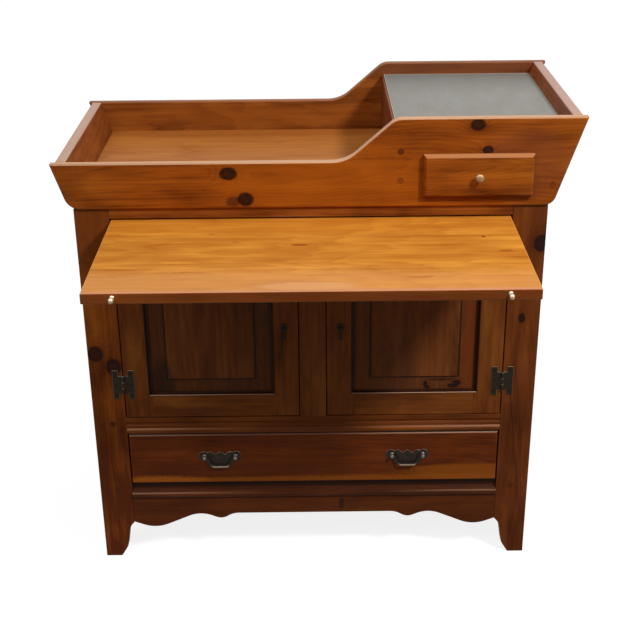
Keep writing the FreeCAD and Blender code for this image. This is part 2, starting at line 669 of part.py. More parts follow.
keep(rail("top_rail_board", "lay.slot_high", "dims.top_rail_height"), "top_rail")
keep(rail("shelf_rail_board", "lay.door_high", "dims.shelf_rail_height"), "shelf_rail")
mid_blank = rail("mid_rail_blank", "lay.drawer_high", "dims.mid_rail_height")
keep(beaded("mid_rail", mid_blank, "lay.drawer_high"), "mid_rail")
lower_blank = hollow_rail("lower_rail_blank", "dims.apron_top", "dims.lower_rail_height")
keep(beaded("lower_rail", lower_blank, "dims.apron_top"), "lower_rail")
keep(board("centre_stile_board", ("-dims.centre_stile_width / 2", "lay.front", "lay.door_low"),
           ("dims.centre_stile_width", "dims.face_thickness", "dims.door_opening_height")), "centre_stile")

# Apron: its lower edge is a scallop, the same to both sides of the middle.
low_x = "lay.open_half - dims.scallop_low_in"
high_x = f"{low_x} - dims.scallop_high_past"
dip_x = f"{high_x} - dims.scallop_dip_past"
wave = [
    ("lay.open_half", "lay.apron_end"),
    (low_x, "dims.scallop_flat - dims.scallop_low_drop"),
    (high_x, "dims.scallop_flat + dims.scallop_high_rise"),
    (dip_x, "dims.scallop_flat - dims.scallop_dip_drop"),
    (f"{dip_x} - dims.scallop_flat_past", "dims.scallop_flat"),
]
left_wave = [(f"-({x})", z) for x, z in reversed(wave)]
apron = cut_board("apron_body", [("lay.open_half", "dims.apron_top")] + wave + left_wave
                  + [("-lay.open_half", "dims.apron_top")], "lay.frame_back", "dims.face_thickness")
for (x, z), radius in zip(wave[1:], ("low", "high", "dip", "flat")):
    round_edges(apron, corner_at((x, z), (f"-({x})", z)), f"dims.scallop_{radius}_round")
keep(apron, "front_apron")

# Cabinet floor, inner shelf on its cleats, and the rail under the back of the tray.
keep(board("cabinet_floor_board",
           ("-lay.side_inner", "lay.frame_back", "lay.door_low - dims.floor_thickness"),
           ("2 * lay.side_inner", "lay.back_inner - lay.frame_back", "dims.floor_thickness")),
     "cabinet_floor")
inner_front = "lay.frame_back + dims.inner_shelf_setback"
keep(board("inner_shelf_board", ("-lay.side_inner", inner_front, "lay.inner_shelf_low"),
           ("2 * lay.side_inner", f"lay.back_inner - ({inner_front})", "dims.inner_shelf_thickness")),
     "inner_shelf")
cleats = []
for side in SIDES:
    low, size = span(side, "lay.side_inner - dims.cleat_size", "lay.side_inner")
    cleats.append(board(f"{SIDES[side]}_cleat", (low, inner_front, "lay.inner_shelf_low - dims.cleat_size"),
                        (size, f"lay.back_inner - ({inner_front})", "dims.cleat_size")))
keep(group("cleat_set", cleats), "inner_shelf_cleats")
keep(board("rear_rail_board", ("-lay.side_inner", "lay.rear_rail_front", "lay.slot_high"),
           ("2 * lay.side_inner", "dims.rear_rail_thickness", "dims.top_rail_height")), "rear_rail")

# Runners of the wide drawer: a ledge under the drawer's side and a guide strip beside it, in one piece.
runners = []
for side in SIDES:
    name = f"{SIDES[side]}_runner"
    ledge_low, ledge_size = span(side, "lay.open_half - dims.runner_ledge", "lay.side_inner")
    guide_low, guide_size = span(side, "lay.open_half", "lay.side_inner")
    depth = "lay.back_inner - lay.frame_back"
    ledge = board(name + "_ledge", (ledge_low, "lay.frame_back", "lay.drawer_low - dims.runner_thickness"),
                  (ledge_size, depth, "dims.runner_thickness"))
    guide = board(name + "_guide", (guide_low, "lay.frame_back", "lay.drawer_low"),
                  (guide_size, depth, "dims.guide_height"))
    runners.append(joined(name, [ledge, guide]))
keep(group("runner_set", runners), "drawer_runners")

# Guides of the pull-out shelf: grooved blocks along both sides, between the front frame and the rear rail.
guides = []
for side in SIDES:
    name = f"{SIDES[side]}_shelf_guide"
    low, size = span(side, "lay.open_half - dims.guide_ledge", "lay.side_inner")
    slot_low, slot_size = span(side, "lay.open_half - 2 * dims.guide_ledge", "lay.open_half")
    depth = "lay.rear_rail_front - lay.frame_back"
    block = board(name + "_block", (low, "lay.frame_back", "lay.door_high"),
                  (size, depth, "lay.case_top - lay.door_high"))
    slot = board(name + "_slot", (slot_low, "lay.frame_back", "lay.slot_low"),
                 (slot_size, depth, "lay.slot_high - lay.slot_low"))
    guides.append(cut(name, block, slot))
keep(group("shelf_guide_set", guides), "pullout_guides")

# Door catches: blocks on the back of the shelf rail that reach down behind the tops of the doors.
catches = []
for side in SIDES:
    name = f"{SIDES[side]}_catch"
    near = "dims.centre_stile_width / 2 + dims.catch_in"
    low, size = span(side, near, near + " + dims.catch_width")
    back_part = board(name + "_block", (low, "lay.frame_back", "lay.door_high - dims.catch_drop"),
                      (size, "dims.catch_depth", "dims.catch_drop + dims.shelf_rail_height"))
    lip_front = "lay.front + dims.door_thickness + dims.catch_gap"
    lip = board(name + "_lip", (low, lip_front, "lay.door_high - dims.catch_drop"),
                (size, f"lay.frame_back - ({lip_front})", "dims.catch_drop"))
    catches.append(joined(name, [back_part, lip]))
keep(group("catch_set", catches), "door_catches")

# ---------------------------------------------------------------------------------------------------------
# The tray
# ---------------------------------------------------------------------------------------------------------

TRAY_OUTLINE = [
    ("-lay.end_base", "lay.case_top"),
    ("-(lay.end_base + dims.low_rim_rise * dims.end_slope)", "lay.low_rim"),
    ("lay.sweep_low_x", "lay.low_rim"),
    ("lay.sweep_high_x", "lay.high_rim"),
    ("lay.end_base + dims.high_rim_rise * dims.end_slope", "lay.high_rim"),
    ("lay.end_base", "lay.case_top"),
]


def tray_board(name, rear):
    """Front or back board: leaning ends, and a sweep from the low rim up to the high rim."""
    body = cut_board(name, TRAY_OUTLINE, rear, "dims.board_thickness")
    round_edges(body, corner_at(TRAY_OUTLINE[0]), "dims.left_corner_round")
    round_edges(body, corner_at(TRAY_OUTLINE[5]), "dims.right_corner_round")
    round_edges(body, corner_at(TRAY_OUTLINE[2]), "dims.sweep_low_round")
    round_edges(body, corner_at(TRAY_OUTLINE[3]), "dims.sweep_high_round")
    thickness, foot = number("dims.board_thickness"), number("lay.case_top")

    def rim(edge):
        box = edge.BoundBox
        on_face = box.YLength < 1e-3 and min(abs(box.YMin), abs(box.YMin + thickness)) < 1e-3
        return on_face and box.ZMax > foot + 1

    round_edges(body, rim, "dims.rim_round")
    return body


tray_blank = tray_board("sink_front_blank", "lay.tray_front_inner")
opening = board("small_drawer_opening",
                ("lay.small_low_x", "lay.tray_front", "lay.well"),
                ("dims.small_opening_width", "dims.board_thickness", "dims.small_opening_height"))
keep(cut("sink_front_cut", tray_blank, opening), "sink_front_board")
keep(tray_board("sink_back", "lay.tray_back"), "sink_back_board")

TRAY_DEPTH = "lay.tray_back_inner - lay.tray_front_inner"


def leaning(base, z):
    """X, at height z, of a face that leans as the tray's ends do and stands at base on the case."""
    return f"({base} + ({z} - lay.case_top) * dims.end_slope)"


for side, rim_line in ((LEFT, "lay.low_rim"), (RIGHT, "lay.high_rim")):
    corners = [
        (mirrored(side, "lay.end_outer"), "lay.case_top"),
        (mirrored(side, leaning("lay.end_outer", rim_line)), rim_line),
        (mirrored(side, leaning("lay.end_inner", rim_line)), rim_line),
        (mirrored(side, "lay.end_inner"), "lay.case_top"),
    ]
    end = cut_board(f"sink_{SIDES[side]}_end_body", corners, "lay.tray_back_inner", TRAY_DEPTH)
    top = number(rim_line)
    round_edges(end, lambda edge: edge.BoundBox.YLength > 100 and abs(edge.BoundBox.ZMin - top) < 1e-3,
                "dims.rim_round")
    keep(end, f"sink_{SIDES[side]}_end")

floor_edge = leaning("lay.end_inner", "lay.well")
keep(cut_board("sink_floor_body", [
    ("-lay.end_inner", "lay.case_top"),
    (f"-{floor_edge}", "lay.well"),
    (floor_edge, "lay.well"),
    ("lay.end_inner", "lay.case_top"),
], "lay.tray_back_inner", TRAY_DEPTH), "sink_floor")

# The raised compartment: a wall across the tray, a top board, and the sheet-metal work surface on it.
keep(board("compartment_wall_board", ("lay.wall_x", "lay.tray_front_inner", "lay.well"),
           ("dims.compartment_wall", TRAY_DEPTH, "dims.compartment_height")), "compartment_wall")
keep(cut_board("compartment_top_body", [
    ("lay.wall_x", "lay.counter_low"),
    ("lay.wall_x", "lay.counter_high"),
    (leaning("lay.end_inner", "lay.counter_high"), "lay.counter_high"),
    (leaning("lay.end_inner", "lay.counter_low"), "lay.counter_low"),
], "lay.tray_back_inner", TRAY_DEPTH), "compartment_top")
SHEET_LEFT = "(lay.wall_x + dims.insert_margin)"
keep(board("work_surface", (SHEET_LEFT, "lay.tray_front_inner + dims.sheet_clearance", "lay.counter_high"),
           (f"{leaning('lay.end_inner', 'lay.counter_high')} - dims.sheet_clearance - {SHEET_LEFT}",
            f"{TRAY_DEPTH} - 2 * dims.sheet_clearance", "dims.insert_thickness")), "work_surface_insert")

# Guide strips of the small drawer, on the tray's floor.
strips = []
for tag, start in (("left", "lay.small_low_x - dims.small_wall"),
                   ("right", "lay.small_low_x + dims.small_opening_width")):
    strips.append(board(f"small_guide_{tag}", (start, "lay.tray_front_inner", "lay.well"),
                        ("dims.small_wall", "lay.small_depth", "dims.small_guide_height")))
keep(group("small_guide_set", strips), "small_drawer_guides")

# ---------------------------------------------------------------------------------------------------------
# The pull-out shelf
# ---------------------------------------------------------------------------------------------------------

keep(softened("pullout_shelf_body", ("-lay.shelf_half", "lay.shelf_front", "lay.shelf_low"),
              ("2 * lay.shelf_half", "lay.shelf_depth", "dims.shelf_thickness"), "dims.panel_edge_round",
              lambda box, length, width, height: box.YMax < 1e-3), "pullout_shelf")

stops = []
for side in SIDES:
    near = "dims.stop_block_spread"
    low, size = span(side, near, near + " + dims.stop_block_width")
    stops.append(board(f"{SIDES[side]}_stop", (low, "lay.frame_back + dims.run_clearance", "lay.shelf_high"),
                       (size, "dims.stop_block_width", "dims.stop_block_height")))
keep(group("stop_set", stops), "pullout_stops")


def knob(name, x, face, z, head, reach, swell, collar_share):
    """A turned knob: a collar on the wood, a stem, and a flattened round head of the given radius."""
    centre = f"{head} * ({reach} - {swell})"
    stem = rod(name + "_stem", "y", (x, f"{face} - {centre}", z), f"{head} * dims.knob_stem", centre)
    rise = f"{head} * dims.knob_collar_rise"
    collar = rod(name + "_collar", "y", (x, f"{face} - {rise}", z), f"{head} * {collar_share}", rise)
    ball = bulb(name + "_head", (x, f"{face} - {centre}", z), (head, f"{head} * {swell}", head))
    return joined(name, [stem, collar, ball])


shelf_knobs = [
    knob(f"{SIDES[side]}_shelf_knob", mirrored(side, "lay.shelf_half - dims.shelf_knob_in"),
         "lay.shelf_front", "lay.shelf_mid_z + dims.shelf_knob_up", "dims.shelf_knob_radius",
         "dims.shelf_knob_reach", "dims.shelf_knob_swell", "dims.shelf_knob_collar") for side in SIDES
]
keep(group("shelf_knob_set", shelf_knobs), "pullout_knobs")

# ---------------------------------------------------------------------------------------------------------
# The wide drawer
# ---------------------------------------------------------------------------------------------------------

BOTTOM_LOW = "lay.drawer_box_low + dims.bottom_rise"
INNER_HALF = "(lay.drawer_box_half - dims.drawer_wall)"
HOUSED_HALF = f"({INNER_HALF} + dims.bottom_groove)"

front_blank = softened("drawer_front_blank",
                       ("-lay.drawer_half", "lay.drawer_front", "lay.drawer_low + dims.drawer_gap"),
                       ("2 * lay.drawer_half", "dims.drawer_front_thickness",
                        "dims.drawer_opening_height - 2 * dims.drawer_gap"), "dims.drawer_front_round",
                       lambda box, length, width, height: box.YMax < 1e-3)
bottom = board("drawer_bottom_board",
               (f"-{HOUSED_HALF}", "lay.drawer_back - dims.bottom_groove", BOTTOM_LOW),
               (f"2 * {HOUSED_HALF}", "dims.bottom_groove + lay.drawer_depth",
                "dims.drawer_bottom_thickness"))
keep(cut("drawer_front_grooved", front_blank, bottom), "wide_drawer_front")
walls = []
for side in SIDES:
    low, size = span(side, INNER_HALF, "lay.drawer_box_half")
    wall = board(f"{SIDES[side]}_drawer_wall", (low, "lay.drawer_back", "lay.drawer_box_low"),
                 (size, "lay.drawer_depth", "dims.drawer_side_height"))
    walls.append(cut(f"{SIDES[side]}_drawer_side", wall, bottom))
keep(group("drawer_side_set", walls), "wide_drawer_sides")
keep(board("drawer_back_board",
           (f"-{INNER_HALF}", "lay.drawer_back + lay.drawer_depth - dims.drawer_wall",
            f"{BOTTOM_LOW} + dims.drawer_bottom_thickness"),
           (f"2 * {INNER_HALF}", "dims.drawer_wall",
            "dims.drawer_side_height - dims.bottom_rise - dims.drawer_bottom_thickness")), "wide_drawer_back")
keep(bottom, "wide_drawer_bottom")

# Bail pulls: a bat-wing plate, two posts with an eye, and a bail whose ends turn outwards into the eyes.
PLATE_FACE = "(lay.drawer_front - dims.plate_thickness)"
plates, posts = [], []
for side in SIDES:
    x = f"({mirrored(side, 'dims.pull_spread')})"
    name = f"{SIDES[side]}_pull"
    half = "dims.post_spacing / 2"
    corners = [
        (f"{x} - {half}", "lay.pull_z + dims.plate_shoulder"),
        (f"{x} - dims.plate_peak_out", "lay.pull_z + dims.plate_peak"),
        (f"{x} - dims.plate_valley_out", "lay.pull_z + dims.plate_valley"),
        (x, "lay.pull_z + dims.plate_peak"),
        (f"{x} + dims.plate_valley_out", "lay.pull_z + dims.plate_valley"),
        (f"{x} + dims.plate_peak_out", "lay.pull_z + dims.plate_peak"),
        (f"{x} + {half}", "lay.pull_z + dims.plate_shoulder"),
        (f"{x} + {half}", "lay.pull_z - dims.plate_shoulder"),
        (f"{x} + dims.plate_foot", "lay.pull_z - dims.plate_drop"),
        (f"{x} - dims.plate_foot", "lay.pull_z - dims.plate_drop"),
        (f"{x} - {half}", "lay.pull_z - dims.plate_shoulder"),
    ]
    middle = cut_board(name + "_middle", corners, "lay.drawer_front", "dims.plate_thickness")
    lobes = []
    for end in (LEFT, RIGHT):
        post_x = f"{x} + {end} * {half}"
        tag = f"{name}_{SIDES[end]}"
        lobes.append(rod(tag + "_lobe", "y", (post_x, PLATE_FACE, "lay.pull_z"), "dims.plate_lobe",
                         "dims.plate_thickness"))
        stem = rod(tag + "_stem", "y", (post_x, f"{PLATE_FACE} - dims.post_length", "lay.pull_z"),
                   "dims.post_radius", "dims.post_length")
        eye = rod(tag + "_eye", "x", (f"{post_x} - dims.post_radius", "lay.bail_y", "lay.pull_z"),
                  "dims.bail_radius + dims.pin_clearance", "2 * dims.post_radius")
        posts.append(cut(tag + "_post", stem, eye))
    plates.append(joined(name + "_plate", [middle] + lobes))
keep(group("plate_set", plates), "wide_drawer_pull_plates")
keep(group("post_set", posts), "wide_drawer_pull_posts")


def rounded_path(points, radii):
    """A wire through points, with a tangent arc of its own radius at each inner point."""
    edges = []
    start = points[0]
    for before, corner, after, radius in zip(points, points[1:], points[2:], radii):
        back_way, on_way = (before - corner).normalize(), (after - corner).normalize()
        half_angle = back_way.getAngle(on_way) / 2
        reach = radius / math.tan(half_angle)
        arc_start, arc_end = corner + back_way * reach, corner + on_way * reach
        middle_way = (back_way + on_way).normalize()
        middle = corner + middle_way * (radius / math.sin(half_angle) - radius)
        edges.append(Part.LineSegment(start, arc_start).toShape())
        edges.append(Part.Arc(arc_start, middle, arc_end).toShape())
        start = arc_end
    edges.append(Part.LineSegment(start, points[-1]).toShape())
    return Part.Wire(edges)


def bail(name, side):
    """The rod of a bail, bent in one plane, with its centre between the eyes at the origin."""
    end = number("dims.post_spacing / 2 + dims.bail_pin_past")
    shoulder = number("dims.post_spacing / 2 - dims.post_radius - dims.bail_shoulder_gap")
    foot, drop = number("dims.bail_foot"), number("dims.bail_drop")
    half = [(end, 0), (shoulder, 0), (foot, -drop)]
    points = [FreeCAD.Vector(-x, 0, z) for x, z in half]
    points += [FreeCAD.Vector(x, 0, z) for x, z in reversed(half)]
    upper, lower = number("dims.bail_shoulder_round"), number("dims.bail_foot_round")
    wire = rounded_path(points, (upper, lower, lower, upper))
    section = Part.Wire(Part.makeCircle(number("dims.bail_radius"), points[0], FreeCAD.Vector(1, 0, 0)))
    piece = doc.addObject("Part::Feature", name + "_rod")
    piece.Shape = wire.makePipeShell([section], True, True)
    place(piece, (mirrored(side, "dims.pull_spread"), "lay.bail_y", "lay.pull_z"))
    return piece


for side in SIDES:
    keep(bail(f"{SIDES[side]}_bail", side), f"{SIDES[side]}_bail")

# ---------------------------------------------------------------------------------------------------------
# The small drawer
# ---------------------------------------------------------------------------------------------------------

SMALL_LOW = "(lay.well + dims.run_clearance)"
SMALL_BOX_X = "(lay.small_low_x + dims.guide_clearance)"
SMALL_BOX_WIDTH = "(dims.small_opening_width - 2 * dims.guide_clearance)"
SMALL_BOTTOM_LOW = f"{SMALL_LOW} + dims.bottom_rise"
SMALL_INNER_X = f"({SMALL_BOX_X} + dims.small_wall)"
SMALL_INNER_WIDTH = f"({SMALL_BOX_WIDTH} - 2 * dims.small_wall)"

overlay = doc.addObject("PartDesign::Body", "small_front_overlay")
slab = overlay.newObject("PartDesign::AdditiveBox", "small_front_slab")
slab.setExpression("Length", "dims.small_opening_width + 2 * dims.small_lip_side")
slab.setExpression("Width", "dims.small_front_thickness")
slab.setExpression("Height", "dims.small_opening_height + dims.small_lip_top + dims.small_lip_bottom")
place(overlay, ("lay.small_low_x - dims.small_lip_side",
                "lay.tray_front - dims.run_clearance - dims.small_front_thickness",
                "lay.well - dims.small_lip_bottom"))
doc.recompute()
bevel = overlay.newObject("PartDesign::Chamfer", "small_front_chamfer")
bevel.Base = (slab, [f"Edge{i}" for i, edge in enumerate(slab.Shape.Edges, 1) if edge.BoundBox.YMax < 1e-3])
bevel.setExpression("Size", "dims.small_front_bevel")
tongue = board("small_front_tongue",
               (SMALL_BOX_X, "lay.tray_front - dims.run_clearance", SMALL_LOW),
               (SMALL_BOX_WIDTH, "dims.small_tongue",
                "dims.small_opening_height - 2 * dims.run_clearance"))
small_bottom = board("small_bottom_board",
                     (f"{SMALL_INNER_X} - dims.bottom_groove", "lay.small_back - dims.bottom_groove",
                      SMALL_BOTTOM_LOW),
                     (f"{SMALL_INNER_WIDTH} + 2 * dims.bottom_groove", "dims.bottom_groove + lay.small_depth",
                      "dims.drawer_bottom_thickness"))
keep(cut("small_front_grooved", joined("small_front_whole", [overlay, tongue]), small_bottom),
     "small_drawer_front")
small_sides = []
for tag, start in (("left", SMALL_BOX_X), ("right", f"{SMALL_INNER_X} + {SMALL_INNER_WIDTH}")):
    wall = board(f"small_wall_{tag}", (start, "lay.small_back", SMALL_LOW),
                 ("dims.small_wall", "lay.small_depth", "dims.small_side_height"))
    small_sides.append(cut(f"small_side_{tag}", wall, small_bottom))
keep(group("small_side_set", small_sides), "small_drawer_sides")
keep(board("small_back_board",
           (SMALL_INNER_X, "lay.small_back + lay.small_depth - dims.small_wall",
            f"{SMALL_BOTTOM_LOW} + dims.drawer_bottom_thickness"),
           (SMALL_INNER_WIDTH, "dims.small_wall",
            "dims.small_side_height - dims.bottom_rise - dims.drawer_bottom_thickness")), "small_drawer_back")
keep(small_bottom, "small_drawer_bottom")
keep(knob("small_knob", "lay.small_x", "(lay.tray_front - dims.run_clearance - dims.small_front_thickness)",
          "lay.small_mid_z", "dims.knob_radius", "dims.knob_reach", "dims.knob_swell",
          "dims.knob_collar"), "small_drawer_knob")

# ---------------------------------------------------------------------------------------------------------
# The doors
# ---------------------------------------------------------------------------------------------------------

DOOR_HEIGHT = "(lay.door_head - lay.door_foot)"
STILE_NEAR = "(lay.door_inner + dims.door_frame_width)"
STILE_FAR = "(lay.door_outer - dims.door_frame_width)"
HOUSED = "(dims.panel_groove - dims.panel_play)"

for side in SIDES:
    name = f"{SIDES[side]}_door"
    # The groove is one ring of four bars, cut from stiles and rails alike.
    ring = []
    for tag, near, far in (("inner", f"{STILE_NEAR} - dims.panel_groove", STILE_NEAR),
                           ("outer", STILE_FAR, f"{STILE_FAR} + dims.panel_groove")):
        low, size = span(side, near, far)
        ring.append(board(f"{name}_groove_{tag}", (low, "lay.tongue_y", "lay.door_foot"),
                          (size, "dims.panel_tongue", DOOR_HEIGHT)))
    stile_grooves = group(name + "_stile_grooves", ring)
    stiles = []
    for tag, near, far in (("lock", "lay.door_inner", STILE_NEAR), ("hinge", STILE_FAR, "lay.door_outer")):
        low, size = span(side, near, far)
        blank = board(f"{name}_{tag}_blank", (low, "lay.front", "lay.door_foot"),
                      (size, "dims.door_thickness", DOOR_HEIGHT))
        grooved = cut(f"{name}_{tag}_grooved", blank, stile_grooves)
        if tag == "hinge":
            grooved = cut(f"{name}_{tag}_bored", grooved, group(f"{name}_screw_holes", door_screws[side]))
        stiles.append(grooved)
    keep(group(name + "_stile_set", stiles), name + "_stiles")

    rails = []
    low, size = span(side, STILE_NEAR, STILE_FAR)
    tenon_low, tenon_size = span(side, f"{STILE_NEAR} - {HOUSED}", f"{STILE_FAR} + {HOUSED}")
    for tag, foot, groove in (
        ("bottom", "lay.door_foot", "lay.door_foot + dims.door_frame_width - dims.panel_groove"),
        ("top", "lay.door_head - dims.door_frame_width", "lay.door_head - dims.door_frame_width"),
    ):
        blank = board(f"{name}_{tag}_blank", (low, "lay.front", foot),
                      (size, "dims.door_thickness", "dims.door_frame_width"))
        tenon = board(f"{name}_{tag}_tenon", (tenon_low, "lay.tongue_y", foot),
                      (tenon_size, "dims.panel_tongue", "dims.door_frame_width"))
        channel = board(f"{name}_{tag}_channel", (tenon_low, "lay.tongue_y", groove),
                        (tenon_size, "dims.panel_tongue", "dims.panel_groove"))
        rails.append(cut(f"{name}_{tag}_rail", joined(f"{name}_{tag}_whole", [blank, tenon]), channel))
    keep(group(name + "_rail_set", rails), name + "_rails")

    # Panel: a tongue all round in the grooves, a sunk margin, and a raised field.
    panel_low, panel_size = span(side, f"{STILE_NEAR} - {HOUSED}", f"{STILE_FAR} + {HOUSED}")
    panel_foot = f"(lay.door_foot + dims.door_frame_width - {HOUSED})"
    panel_tall = f"({DOOR_HEIGHT} - 2 * dims.door_frame_width + 2 * {HOUSED})"
    tongue = board(name + "_tongue", (panel_low, "lay.tongue_y", panel_foot),
                   (panel_size, "dims.panel_tongue", panel_tall))
    field_low, field_size = span(side, "lay.field_low_x", "lay.field_high_x")
    field = board(name + "_field", (field_low, "lay.tongue_y - dims.field_rise",
                                    "lay.door_foot + dims.door_frame_width + dims.field_margin_end"),
                  (field_size, "dims.field_rise",
                   f"{DOOR_HEIGHT} - 2 * dims.door_frame_width - 2 * dims.field_margin_end"))
    keep(joined(name + "_panel_whole", [tongue, field]), name + "_panel")
    keep(group(name + "_leaf_set", door_leaves[side]), name + "_hinge_leaves")
    keep(group(name + "_screw_set", door_screws[side]), name + "_hinge_screws")

    # Drop pull: a round plate with a post, and a drop whose two arms hold a pin through the post's eye.
    x = f"({mirrored(side, 'lay.pull_x')})"
    plate_y = "(lay.front - dims.rosette_thickness)"
    disc = rod(name + "_rosette_disc", "y", (x, plate_y, "lay.drop_z"), "dims.rosette_radius",
               "dims.rosette_thickness")
    stem = rod(name + "_rosette_stem", "y", (x, f"{plate_y} - dims.pull_post_length", "lay.drop_z"),
               "dims.pull_post_radius", "dims.pull_post_length")
    eye = rod(name + "_rosette_eye", "x", (f"{x} - dims.pull_post_radius", "lay.drop_y", "lay.drop_z"),
              "dims.pull_pin_radius + dims.pin_clearance", "2 * dims.pull_post_radius")
    keep(cut(name + "_rosette", joined(name + "_rosette_whole", [disc, stem]), eye), name + "_pull_plate")

    arm_near = "(dims.pull_post_radius + dims.drop_arm_gap)"
    arm_far = f"({arm_near} + dims.drop_arm)"
    bulb_top = "(dims.drop_length - dims.drop_bulb_length)"
    pin = rod(name + "_drop_pin", "x", (f"{x} - {arm_far}", "lay.drop_y", "lay.drop_z"),
              "dims.pull_pin_radius", f"2 * {arm_far}")
    bits = [pin]
    for tag, start in (("a", f"{x} - {arm_far}"), ("b", f"{x} + {arm_near}")):
        bits.append(board(f"{name}_drop_arm_{tag}",
                          (start, "lay.drop_y - dims.drop_arm", f"lay.drop_z - {bulb_top}"),
                          ("dims.drop_arm", "2 * dims.drop_arm", f"{bulb_top} + dims.drop_arm")))
    bits.append(board(name + "_drop_bridge",
                      (f"{x} - {arm_far}", "lay.drop_y - dims.drop_arm",
                       f"lay.drop_z - {bulb_top} - dims.drop_arm"),
                      (f"2 * {arm_far}", "2 * dims.drop_arm", "2 * dims.drop_arm")))
    bits.append(bulb(name + "_drop_bulb",
                     (x, "lay.drop_y", f"lay.drop_z - {bulb_top} - dims.drop_bulb_length / 2"),
                     ("dims.drop_radius", "dims.drop_radius", "dims.drop_bulb_length / 2")))
    keep(joined(name + "_drop_whole", bits), name + "_drop")

# ---------------------------------------------------------------------------------------------------------
# Checks and files
# ---------------------------------------------------------------------------------------------------------

doc.recompute()
for item in doc.Objects:
    if "Invalid" in item.State or "Error" in item.State:
        raise RuntimeError(f"{item.Name} failed: {item.State}")
for node in NODES:
    shape = node.Shape
    if shape.isNull() or not shape.isValid() or not shape.Solids:
        raise RuntimeError(f"{node.Label} has no valid shape")

os.makedirs("parts", exist_ok=True)
for node in NODES:
    node.Shape.exportStep(f"parts/{node.Label}.step")
print(len(NODES), "pieces written")
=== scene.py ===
import math

import bmesh
import bpy
from mathutils import Matrix, Vector


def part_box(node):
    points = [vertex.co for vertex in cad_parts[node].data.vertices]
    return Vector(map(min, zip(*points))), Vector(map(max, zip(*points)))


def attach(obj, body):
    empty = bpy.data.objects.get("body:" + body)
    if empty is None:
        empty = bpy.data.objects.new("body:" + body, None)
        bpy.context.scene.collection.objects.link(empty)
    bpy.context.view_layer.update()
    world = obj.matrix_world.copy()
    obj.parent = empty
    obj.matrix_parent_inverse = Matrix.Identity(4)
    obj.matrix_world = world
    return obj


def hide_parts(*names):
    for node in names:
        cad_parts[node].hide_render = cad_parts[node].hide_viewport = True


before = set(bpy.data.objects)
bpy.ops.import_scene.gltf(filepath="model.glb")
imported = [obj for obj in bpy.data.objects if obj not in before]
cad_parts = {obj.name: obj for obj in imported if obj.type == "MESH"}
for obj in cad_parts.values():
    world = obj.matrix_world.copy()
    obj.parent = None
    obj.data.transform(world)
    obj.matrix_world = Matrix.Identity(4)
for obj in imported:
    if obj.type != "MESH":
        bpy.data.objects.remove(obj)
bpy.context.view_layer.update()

# ----------------------------------------------------------------
# Camera: it stands 2.2 m before the cabinet's legs and 1.56 m up, close to the piece's middle line, and looks
# down on it by 25 degrees. Here and below, places on the piece are in mm from the middle of the case, the
# front of the legs and the floor.

case_x = (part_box("front_left_leg")[0].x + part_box("front_right_leg")[1].x) / 2
face_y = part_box("front_left_leg")[0].y
LOOK_ASIDE = -0.0052
LOOK_DOWN = 0.4325
ROLL = -0.0084


def at(x, y, z):
    """A point given in mm from the middle of the case, the front of the legs and the floor."""
    return Vector((case_x + x / 1000, face_y + y / 1000, z / 1000))


def linked(name, data):
    """A new object in the scene."""
    made = bpy.data.objects.new(name, data)
    bpy.context.scene.collection.objects.link(made)
    return made


camera = linked("camera", bpy.data.cameras.new("camera"))
bpy.context.scene.camera = camera
camera.data.sensor_width = 36
camera.data.lens = 67.978
camera.data.clip_end = 100
camera.matrix_world = (
    Matrix.Translation(at(4.08, -2166.6, 1556.9))
    @ Matrix.Rotation(LOOK_ASIDE, 4, "Z")
    @ Matrix.Rotation(math.pi / 2 - LOOK_DOWN, 4, "X")
    @ Matrix.Rotation(ROLL, 4, "Z")
)
bpy.context.scene.view_settings.view_transform = "Standard"

# ----------------------------------------------------------------
# Studio: a lamp high on the right before the cabinet, a wide soft one on the left, and a pale floor and
# world. The floor is pale to the eye and in reflections, and darker to the light that it throws back, so
# that the shade under the shelf stays deep.


class Wire:
    """A value in a node tree. Arithmetic on it adds Math nodes, and node() adds a node of any other kind."""

    def __init__(self, tree, socket=None):
        self.tree = tree
        self.socket = socket

    def node(self, kind, settings, sockets, out=0):
        made = self.tree.nodes.new(kind)
        for key, value in settings.items():
            if key == "stops":
                while len(made.color_ramp.elements) < len(value):
                    made.color_ramp.elements.new(1.0)
                for stop, (place, colour) in zip(made.color_ramp.elements, value):
                    stop.position = place
                    stop.color = colour
            else:
                setattr(made, key, value)
        for key, value in sockets.items():
            if isinstance(value, Wire):
                self.tree.links.new(value.socket, made.inputs[key])
            else:
                made.inputs[key].default_value = value
        if isinstance(out, tuple):
            return [Wire(self.tree, made.outputs[i]) for i in out]
        return Wire(self.tree, made.outputs[out])

    def math(self, operation, *terms):
        return self.node("ShaderNodeMath", {"operation": operation}, dict(enumerate(terms)))

    def __add__(self, other):
        return self.math("ADD", self, other)

    def __radd__(self, other):
        return self.math("ADD", other, self)

    def __sub__(self, other):
        return self.math("SUBTRACT", self, other)

    def __rsub__(self, other):
        return self.math("SUBTRACT", other, self)

    def __mul__(self, other):
        return self.math("MULTIPLY", self, other)

    def __rmul__(self, other):
        return self.math("MULTIPLY", other, self)

    def __truediv__(self, other):
        return self.math("DIVIDE", self, other)

    def __pow__(self, other):
        return self.math("POWER", self, other)

    def step(self, low, high):
        """0 below low, 1 above high and smooth between, or the other way round if low is above high."""
        sockets = {"Value": self, "From Min": low, "From Max": high}
        return self.node("ShaderNodeMapRange", {"interpolation_type": "SMOOTHSTEP"}, sockets)

    def mix(self, first, second):
        """The first colour where this is 0 and the second where it is 1."""
        return self.node("ShaderNodeMix", {"data_type": "RGBA"}, {0: self, 6: first, 7: second}, 2)

    def into(self, shader, name):
        """Feeds a shader's socket."""
        self.tree.links.new(self.socket, shader.inputs[name])


